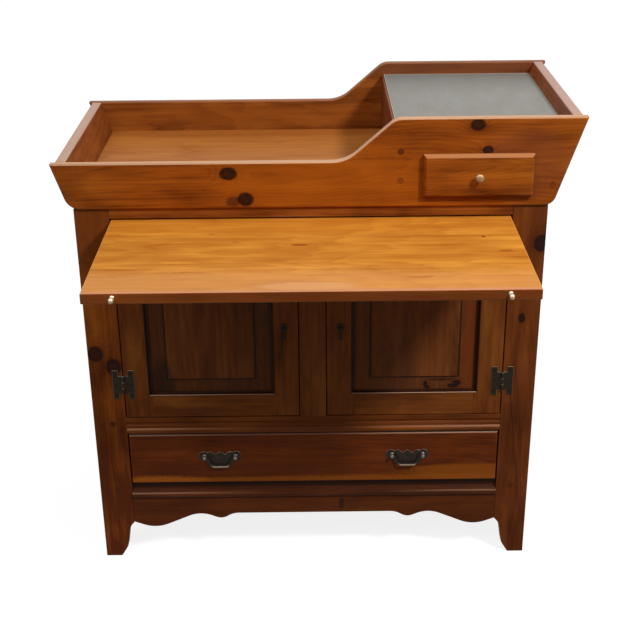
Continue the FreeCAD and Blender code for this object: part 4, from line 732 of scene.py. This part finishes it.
def ring_of_moulding(name, low, high, body):
    """The moulding round a panel, mitred at its corners. The profile's points are (in from the outer edge,
    back from the face) in mm, and low and high the outer corners on the face. The bead's faces are marked
    as rounded arrises, for rubbing and a painted highlight."""
    shape = bmesh.new()
    rounds = []
    for x, z, way_x, way_z in ((low.x, low.z, 1, 1), (high.x, low.z, -1, 1), (high.x, high.z, -1, -1),
                               (low.x, high.z, 1, -1)):
        rounds.append([shape.verts.new((x + way_x * s / 1000, low.y + back / 1000, z + way_z * s / 1000))
                       for s, back in bead_and_cove])
    for first, second in zip(rounds, rounds[1:] + rounds[:1]):
        for j in range(len(bead_and_cove)):
            k = (j + 1) % len(bead_and_cove)
            side = shape.faces.new((first[j], second[j], second[k], first[k]))
            side.material_index = 1 if j < 4 else 0
    piece = solid_object(name, shape, sharp=35)
    piece.data.materials.append(None)
    piece.data.materials.append(None)
    return finished(piece, body, moulding_pine, "case_pine")


def cutter(name, size, middle):
    """A block to cut other pieces with."""
    shape = bmesh.new()
    bmesh.ops.create_cube(shape, size=1.0)
    for vertex in shape.verts:
        vertex.co = Vector(a * b for a, b in zip(vertex.co, size)) + middle
    return solid_object(name, shape, smooth=False)


def cut(piece, block):
    """Cuts the block's shape out of a piece."""
    rebate = piece.modifiers.new("rebate", "BOOLEAN")
    rebate.operation = "DIFFERENCE"
    rebate.object = block
    rebate.solver = "EXACT"


# Each panel's margins get painted shade, deeper on the left door, which lies in the shelf's shade. The
# patches are painted light and shade: a dark lower-left corner on the left door, and on the right door a
# painted shadow under the field, a painted lit band down its right margin and painted shade on its left part.
for side, seed, depth_share, marks, painted_light_and_shade in (
        ("left", 101, 0.42, [], [(415, -304, 60, 26, 0.7, (28, 15, 13))]),
        ("right", 104, 0.14, [(408, 228, 7, 4), (401, 232, 4, 5), (404, 284, 4, 11), (411, 293, 5, 7)],
         [(418, 258, 3.5, 30, 0.7, (36, 17, 10)), (500, 316, 240, 16, 0.55, (132, 58, 20)),
          (430, 160, 110, 55, 0.3, (70, 40, 30))])):
    body = side + "_door"
    low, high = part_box(body + "_stiles")
    inset = Vector((FRAME_WIDTH - MOULDING / 1000, 0, FRAME_WIDTH - MOULDING / 1000))
    outer_low = low + inset
    outer_high = Vector((high.x, low.y, high.z)) - inset
    middle = (outer_low + outer_high) / 2
    router = cutter("router", (outer_high.x - outer_low.x, REBATE_DEPTH, outer_high.z - outer_low.z), middle)
    for kind, paint in (("_stiles", door_stile_pine), ("_rails", door_rail_pine)):
        piece = merged_copy(body + kind + "_routed", body + kind)
        cut(piece, router)
        soften(piece, 0.0007)
        finished(piece, body, paint, "case_pine", body + kind)
    bpy.data.objects.remove(router)
    ring_of_moulding(body + "_moulding", outer_low, outer_high, body)
    margin = 500 * (outer_high.x - outer_low.x) - MOULDING - FIELD_HALF_WIDTH
    field = (FIELD_HALF_WIDTH, FIELD_HALF_HEIGHT, 1000 * (middle.x - case_x), 1000 * middle.z, margin,
             depth_share)
    panel_pine = pine(body + "_panel_pine", "zxy", (109, 58, 24), seed=seed, boards=64, heart=-300, ring=5.0,
                      knots=marks, patches=painted_light_and_shade, field=field)
    eased(body + "_panel", body, panel_pine, "case_pine", 0.0010)

# ----------------------------------------------------------------
# Hinges: H hinges of dark bronzed steel, screwed on the face of legs and doors with round-headed screws.
# The patina is almost black, rubbed to grey-brown along the edges, most where they look up, which is partly a
# painted highlight.

SCREW_RADIUS = 0.0028
HEAD_HEIGHT = 0.0009
bronze = metal("dark_bronze", (30, 24, 17), (124, 110, 88), 0.5, 0.55, 7.0, 1.0, 1.5, patina=(48, 39, 29))
screw_bronze = metal("screw_bronze", (30, 26, 19), (60, 54, 42), 0.3, 0.7, 5.0, 1.0, 0.0)


def solid_boxes(node):
    """The low and the high corner of each separate solid of a CAD piece."""
    probe = merged_copy("probe", node)
    number = solids_of(probe.data)
    groups = {}
    for face in probe.data.polygons:
        for i in face.vertices:
            groups.setdefault(number[face.index], []).append(probe.data.vertices[i].co.copy())
    bpy.data.objects.remove(probe)
    return [[Vector(end(point[i] for point in points) for i in range(3)) for end in (min, max)]
            for points in groups.values()]


def tree_start(name, inputs):
    """A new Geometry Nodes tree: its start, and its inputs by name."""
    tree = bpy.data.node_groups.new(name, "GeometryNodeTree")
    for label, kind in inputs.items():
        tree.interface.new_socket(label, in_out="INPUT", socket_type="NodeSocket" + kind)
    tree.interface.new_socket("Result", in_out="OUTPUT", socket_type="NodeSocketGeometry")
    given = tree.nodes.new("NodeGroupInput")
    return Wire(tree), {socket.name: Wire(tree, socket) for socket in given.outputs if socket.name}


def tree_end(root, shape, finish):
    """Makes what a tree has built real, and gives it its material."""
    real = root.node("GeometryNodeRealizeInstances", {}, {0: shape})
    painted = root.node("GeometryNodeSetMaterial", {}, {"Geometry": real, "Material": finish})
    painted.into(root.tree.nodes.new("NodeGroupOutput"), "Result")
    return root.tree


def scatter_tree():
    """Sets a small turned piece, a screw's head or a plug, on every point, each turned its own way."""
    root, given = tree_start("scattered", {"Points": "Geometry", "Head": "Object", "Size": "Float",
                                           "Seed": "Int", "Finish": "Material"})
    head = root.node("GeometryNodeObjectInfo", {}, {"Object": given["Head"]}, "Geometry")
    turn = root.node("FunctionNodeRandomValue", {"data_type": "FLOAT_VECTOR"},
                     {0: (0, -1.2, 0), 1: (0, 1.2, 0), 8: given["Seed"]})
    size = root.node("ShaderNodeCombineXYZ", {}, {0: given["Size"], 1: given["Size"], 2: given["Size"]})
    placed = root.node("GeometryNodeInstanceOnPoints", {}, {"Points": given["Points"], "Instance": head,
                                                            "Rotation": turn, "Scale": size})
    return tree_end(root, placed, given["Finish"])


def built(name, points, lines, tree, **inputs):
    """A new object of points and lines, on which a Geometry Nodes tree builds."""
    mesh = bpy.data.meshes.new(name)
    mesh.from_pydata(points, lines, [])
    piece = linked(name, mesh)
    made = piece.modifiers.new("built", "NODES")
    made.node_group = tree
    for item in tree.interface.items_tree:
        if item.in_out == "INPUT" and item.name in inputs:
            made[item.identifier] = inputs[item.name]
    return piece


def small_turned(name, profile, steps):
    """A turned piece 1 in radius, closed at both ends, that stands out along -Y."""
    shape = bmesh.new()
    rounds = lathe(shape, profile, steps, lambda x, reach, z: (x, -reach, z))
    shape.faces.new(rounds[0])
    shape.faces.new(rounds[-1])
    return solid_object(name, shape, smooth=False)


scattering = scatter_tree()
head = small_turned("screw_head", ((1.0, -0.1), (1.0, 0.06), (0.86, 0.20), (0.60, 0.29), (0.30, 0.33)), 20)
saw = cutter("saw", (2.4, 0.36, 0.24), Vector((0, -0.30, 0)))
cut(head, saw)
slotted = plain_mesh(head)
head.modifiers.clear()
head.data = slotted
bpy.data.objects.remove(saw)
for node, body, seed in (("leg_hinge_screws", "cabinet", 1), ("left_door_hinge_screws", "left_door", 2),
                         ("right_door_hinge_screws", "right_door", 3)):
    spots = [Vector(((low.x + high.x) / 2, low.y + HEAD_HEIGHT, (low.z + high.z) / 2))
             for low, high in solid_boxes(node)]
    piece = built(node + "_slotted", spots, [], scattering, Head=head, Size=SCREW_RADIUS, Seed=seed,
                  Finish=screw_bronze)
    finished(piece, body, screw_bronze, "bronze", node)
bpy.data.objects.remove(head)
eased("leg_hinge_leaves", "cabinet", bronze, "bronze", 0.0007)
eased("hinge_pins", "cabinet", bronze, "bronze", 0.0003)
for side in ("left", "right"):
    eased(side + "_door_hinge_leaves", side + "_door", bronze, "bronze", 0.0007)

# ----------------------------------------------------------------
# Plugs: round pine plugs over the screws that hold the rails to the legs and the tray together. They are
# glued in, cut off a hair proud of the board, and darker than it.

PLUG_RADIUS = 0.0063
leg_plug_pine = pine("plug_pine", "xzy", (78, 36, 14), seed=121, ring=3.0, arris=0.0)
tray_plug_pine = pine("tray_plug_pine", "xzy", (117, 56, 16), seed=123, ring=3.0, arris=0.0)
plug = small_turned("plug", ((1.0, -0.2), (1.0, 0.02), (0.93, 0.05)), 24)
tray_y = 1000 * (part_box("sink_front_board")[0].y - face_y)
for name, depth, places, paint, slot, seed in (
        ("leg_plugs", 0, ((-412, 326), (-414, 169), (412, 326), (414, 169)), leg_plug_pine, "case_pine", 5),
        ("tray_plugs", tray_y, ((168, 901), (168, 845), (-453, 820), (454, 834)), tray_plug_pine, "tray_pine",
         6)):
    spots = [at(x, depth, z) for x, z in places]
    piece = built(name, spots, [], scattering, Head=plug, Size=PLUG_RADIUS, Seed=seed, Finish=paint)
    finished(piece, "cabinet", paint, slot)
bpy.data.objects.remove(plug)

# ----------------------------------------------------------------
# Door pulls: a small turned rosette and post on each door's inner stile, and a drop that swings on a pin
# through the post. Cast and bronzed like the hinges.

PIN_REACH = 0.007
LOOP_FALL = 10.3
# The pulls' faces that look up carry a painted highlight.
pull_bronze = metal("pull_bronze", (22, 16, 12), (92, 78, 62), 0.5, 0.55, 5.0, 1.0, 0.0, patina=(36, 27, 20),
                    glint_shares=(0.5, 0.0))
rosette = [(0, -1), (7.6, -1), (8.0, 0.2), (7.8, 1.0), (7.0, 1.5), (6.0, 1.4), (5.2, 1.6), (4.2, 2.6),
           (3.2, 3.2), (2.8, 4.6), (2.8, 8.2), (2.5, 9.2), (1.6, 9.8), (0, 10.0)]
drop_profile = [(0, 0), (1.3, 0.3), (1.7, 1.6), (1.5, 2.8), (2.3, 4.2), (3.4, 6.6), (3.9, 9.4), (3.7, 12.0),
                (2.7, 14.2), (1.5, 15.2), (1.7, 16.0), (1.1, 16.9), (0, 17.1)]


def bent_rod_tree():
    """Sweeps a round rod along a line of points, its corners rounded, and thickens it towards the middle."""
    root, given = tree_start("bent_rod", {"Line": "Geometry", "Bend": "Float", "Rod": "Float",
                                          "Swell": "Float", "Finish": "Material"})
    line = root.node("GeometryNodeMeshToCurve", {}, {0: given["Line"]})
    bent = root.node("GeometryNodeFilletCurve", {"mode": "POLY"},
                     {"Curve": line, "Count": 8, "Radius": given["Bend"], "Limit Radius": True})
    fine = root.node("GeometryNodeResampleCurve", {}, {"Curve": bent, "Count": 72})
    share = root.node("GeometryNodeSplineParameter", {}, {}, "Factor")
    bow = root.math("SINE", share * math.pi)
    scale = 1 + given["Swell"] * bow * bow * bow
    ring = root.node("GeometryNodeCurvePrimitiveCircle", {}, {"Resolution": 14, "Radius": given["Rod"]})
    swept = root.node("GeometryNodeCurveToMesh", {}, {"Curve": fine, "Profile Curve": ring, "Scale": scale,
                                                     "Fill Caps": True})
    smooth = root.node("GeometryNodeSetShadeSmooth", {}, {0: swept})
    return tree_end(root, smooth, given["Finish"])


def bent_rod(name, points, bend, rod, swell, material):
    """The mesh of one rod from its points in the frame. bend is its corners' radius, and rod its own."""
    lines = [(i, i + 1) for i in range(len(points) - 1)]
    piece = built(name, points, lines, bent_rods, Bend=bend, Rod=rod, Swell=swell, Finish=material)
    mesh = plain_mesh(piece)
    bpy.data.objects.remove(piece)
    return mesh


bent_rods = bent_rod_tree()
for side in ("left", "right"):
    door = side + "_door"
    low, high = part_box(door + "_pull_plate")
    spot = Vector(((low.x + high.x) / 2, face_y, (low.z + high.z) / 2))
    turned(door + "_rosette", [spot], rosette, door, pull_bronze, "bronze", door + "_pull_plate")
    low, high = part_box(door + "_drop")
    pivot = spot - Vector((0, PIN_REACH, 0))
    half = 500 * (high.x - low.x)
    bends = ((-half, 0), (-half + 0.2, -4.0), (-1.0, -11.2), (1.0, -11.2), (half - 0.2, -4.0), (half, 0))
    loop_line = [pivot + Vector((x, 0, z)) / 1000 for x, z in bends]
    shape = bmesh.new()
    shape.from_mesh(bent_rod("drop_loop", loop_line, 0.003, 0.0008, 0.2, pull_bronze))
    shape.from_mesh(bent_rod("drop_pin", [loop_line[0], loop_line[-1]], 0, 0.0011, 0, pull_bronze))
    lathe(shape, drop_profile, 20, lambda x, fall, y: pivot + Vector((x, y, -LOOP_FALL - fall)) / 1000)
    piece = solid_object(door + "_drop_cast", shape)
    finished(piece, door + "_drop", pull_bronze, "bronze", door + "_drop")

# ----------------------------------------------------------------
# Wide drawer: a front with rounded edges that stands a little proud of the legs, and a plain pine box
# behind it. The front is one board, dark red-brown at the top and lighter along its lower edge.

# A painted highlight runs along the front's rounded top edge, weaker in the middle. The first patch is
# painted shade over the left half, at the lower edge of the shelf's shade; the others lighten the lower edge.
drawer_pine = pine("drawer_pine", "xzy", (102, 45, 11), seed=103, heart=235, pith=28, climb=0.015, ring=6.0,
                   gloss=0.38, figure=1.2, rim=(190, 150, 128), rim_share=0.8, dip=(-30, 330, 0.5),
                   patches=[(-150, 208, 320, 28, 0.6, (80, 33, 9)), (0, 183, 1500, 16, 0.62, (150, 80, 20)),
                            (330, 205, 150, 22, 0.7, (146, 78, 20)),
                            (-320, 186, 110, 17, 0.7, (166, 92, 28))])
eased("wide_drawer_front", "wide_drawer", drawer_pine, "case_pine", 0.0008)
dress(inner_deep_pine, "wide_drawer_sides")
dress(inner_rail_pine, "wide_drawer_back")
dress(inner_long_pine, "wide_drawer_bottom")

# ----------------------------------------------------------------
# Bail pulls: a bat-wing back plate cut from sheet, two turned posts through it, and a cast bail that hangs
# between the posts. All of it is bronzed. The plates' edges are brighter from rubbing and a painted highlight
# where they look up, and the post caps and the foot of the bail carry painted highlights.

PULL_SPREAD = 0.1945
BAIL_PIVOT = 0.0017
PLATE_TONE = (28, 23, 19)
PLATE_PATINA = (53, 44, 37)
WING = [(0, 11.8), (3.6, 9.6), (8.6, 5.4), (11.2, 5.3), (15.6, 9.4), (20.2, 11.6), (24.2, 10.2), (26.4, 9.4),
        (29.2, 11.2), (33.5, 12.2), (39.0, 10.4), (43.2, 5.2), (44.3, -0.6), (42.4, -6.6), (37.6, -10.4),
        (31.6, -11.0), (27.6, -12.2), (26.0, -16.0), (24.8, -20.6), (20.6, -22.8), (10.0, -23.0), (0, -22.6)]


def curve_through(points, steps=4):
    """A smooth open line through the points."""
    line = []
    ends = [points[0], *points, points[-1]]
    for corners in zip(ends, ends[1:], ends[2:], ends[3:]):
        for k in range(steps):
            t = k / steps
            line.append(tuple(
                0.5 * (2 * b + (c - a) * t + (2 * a - 5 * b + 4 * c - d) * t ** 2
                       + (3 * b - a - 3 * c + d) * t ** 3)
                for a, b, c, d in zip(*corners)))
    line.append(points[-1])
    return line


half_wing = curve_through(WING)
outline = half_wing + [(-x, z) for x, z in reversed(half_wing[1:-1])]
plate_bronze = metal("plate_bronze", PLATE_TONE, (140, 120, 100), 0.6, 0.42, 6.0, 0.8, 0.9,
                     patina=PLATE_PATINA)
post_bronze = metal("post_bronze", PLATE_TONE, (166, 155, 145), 0.6, 0.38, 6.0, 0.8, 0.0, patina=PLATE_PATINA,
                    glint_shares=(0.4, 0.4))
bail_bronze = metal("bail_bronze", PLATE_TONE, (170, 156, 132), 0.6, 0.36, 6.0, 0.8, 0.0, patina=PLATE_PATINA,
                    glint_shares=(0.9, 0.3), below=231)
post_boxes = solid_boxes("wide_drawer_pull_posts")
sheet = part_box("wide_drawer_pull_plates")
pull_z = sum(low.z + high.z for low, high in post_boxes) / len(post_boxes) / 2
shape = bmesh.new()
for middle_x in (case_x - PULL_SPREAD, case_x + PULL_SPREAD):
    prism(shape, *([(middle_x + x / 1000, skin.y, pull_z + z / 1000) for x, z in outline] for skin in sheet))
plates = solid_object("bat_wing_plates", shape)
soften(plates, 0.0006, 60)
finished(plates, "wide_drawer", plate_bronze, "bronze", "wide_drawer_pull_plates")
post_profile = [(0, -1), (5.2, -1), (5.6, 0.3), (5.0, 1.0), (3.6, 1.5), (3.2, 2.4), (3.2, 4.0), (3.6, 4.6),
                (4.5, 5.6), (4.8, 7.0), (4.5, 8.4), (3.6, 9.4), (2.0, 9.9), (0, 10.0)]
spots = [Vector(((low.x + high.x) / 2, sheet[0].y, pull_z)) for low, high in post_boxes]
turned("pull_posts_turned", spots, post_profile, "wide_drawer", post_bronze, "bronze",
       "wide_drawer_pull_posts")
for side in ("left", "right"):
    node = side + "_bail"
    low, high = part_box(node)
    middle = Vector(((low.x + high.x) / 2, high.y - BAIL_PIVOT, high.z - BAIL_PIVOT))
    bends = ((-36.5, 0), (-25, 0), (-16.2, -22), (16.2, -22), (25, 0), (36.5, 0))
    line = [middle + Vector((x, 0, z)) / 1000 for x, z in bends]
    piece = linked(node + "_cast", bent_rod(node + "_cast", line, 0.0055, 0.00155, 0.22, bail_bronze))
    finished(piece, node, bail_bronze, "bronze", node)

# ----------------------------------------------------------------
# Small drawer: a lipped front with a bevel all round, a brass knob and a plain pine box behind it.
# The front is cut from amber pine like the tray's, and its bevel carries a pale painted highlight along the
# top.

# The knob's faces that look up and forward carry a painted highlight.
small_brass = metal("small_brass", (136, 106, 70), (196, 164, 120), 0.5, 0.5, 6.0, 0.8, 0.0, glint_shares=(0.8, 0.2))
small_front_pine = pine("small_front_pine", "xzy", (138, 70, 16), seed=107, heart=870, pith=22, ring=5.0,
                        figure=1.4, rings=0.24, rim=(198, 136, 90), rim_share=0.6)
eased("small_drawer_front", "small_drawer", small_front_pine, "tray_pine", 0.0010)
dress(inner_deep_pine, "small_drawer_sides")
dress(inner_rail_pine, "small_drawer_back")
dress(inner_long_pine, "small_drawer_bottom")
round_knob = [(0, -2), (5.4, -2), (5.4, 0.2), (5.0, 1.2), (3.9, 1.8), (3.6, 4.4), (4.4, 5.8), (6.6, 7.0),
              (8.2, 8.8), (8.5, 10.4), (8.0, 12.2), (6.4, 13.6), (3.6, 14.3), (0, 14.45)]
low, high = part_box("small_drawer_knob")
spot = Vector(((low.x + high.x) / 2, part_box("small_drawer_front")[0].y, (low.z + high.z) / 2))
turned("small_knob_turned", [spot], round_knob, "small_drawer", small_brass, "brass", "small_drawer_knob",
       steps=36)

bpy.context.view_layer.update()
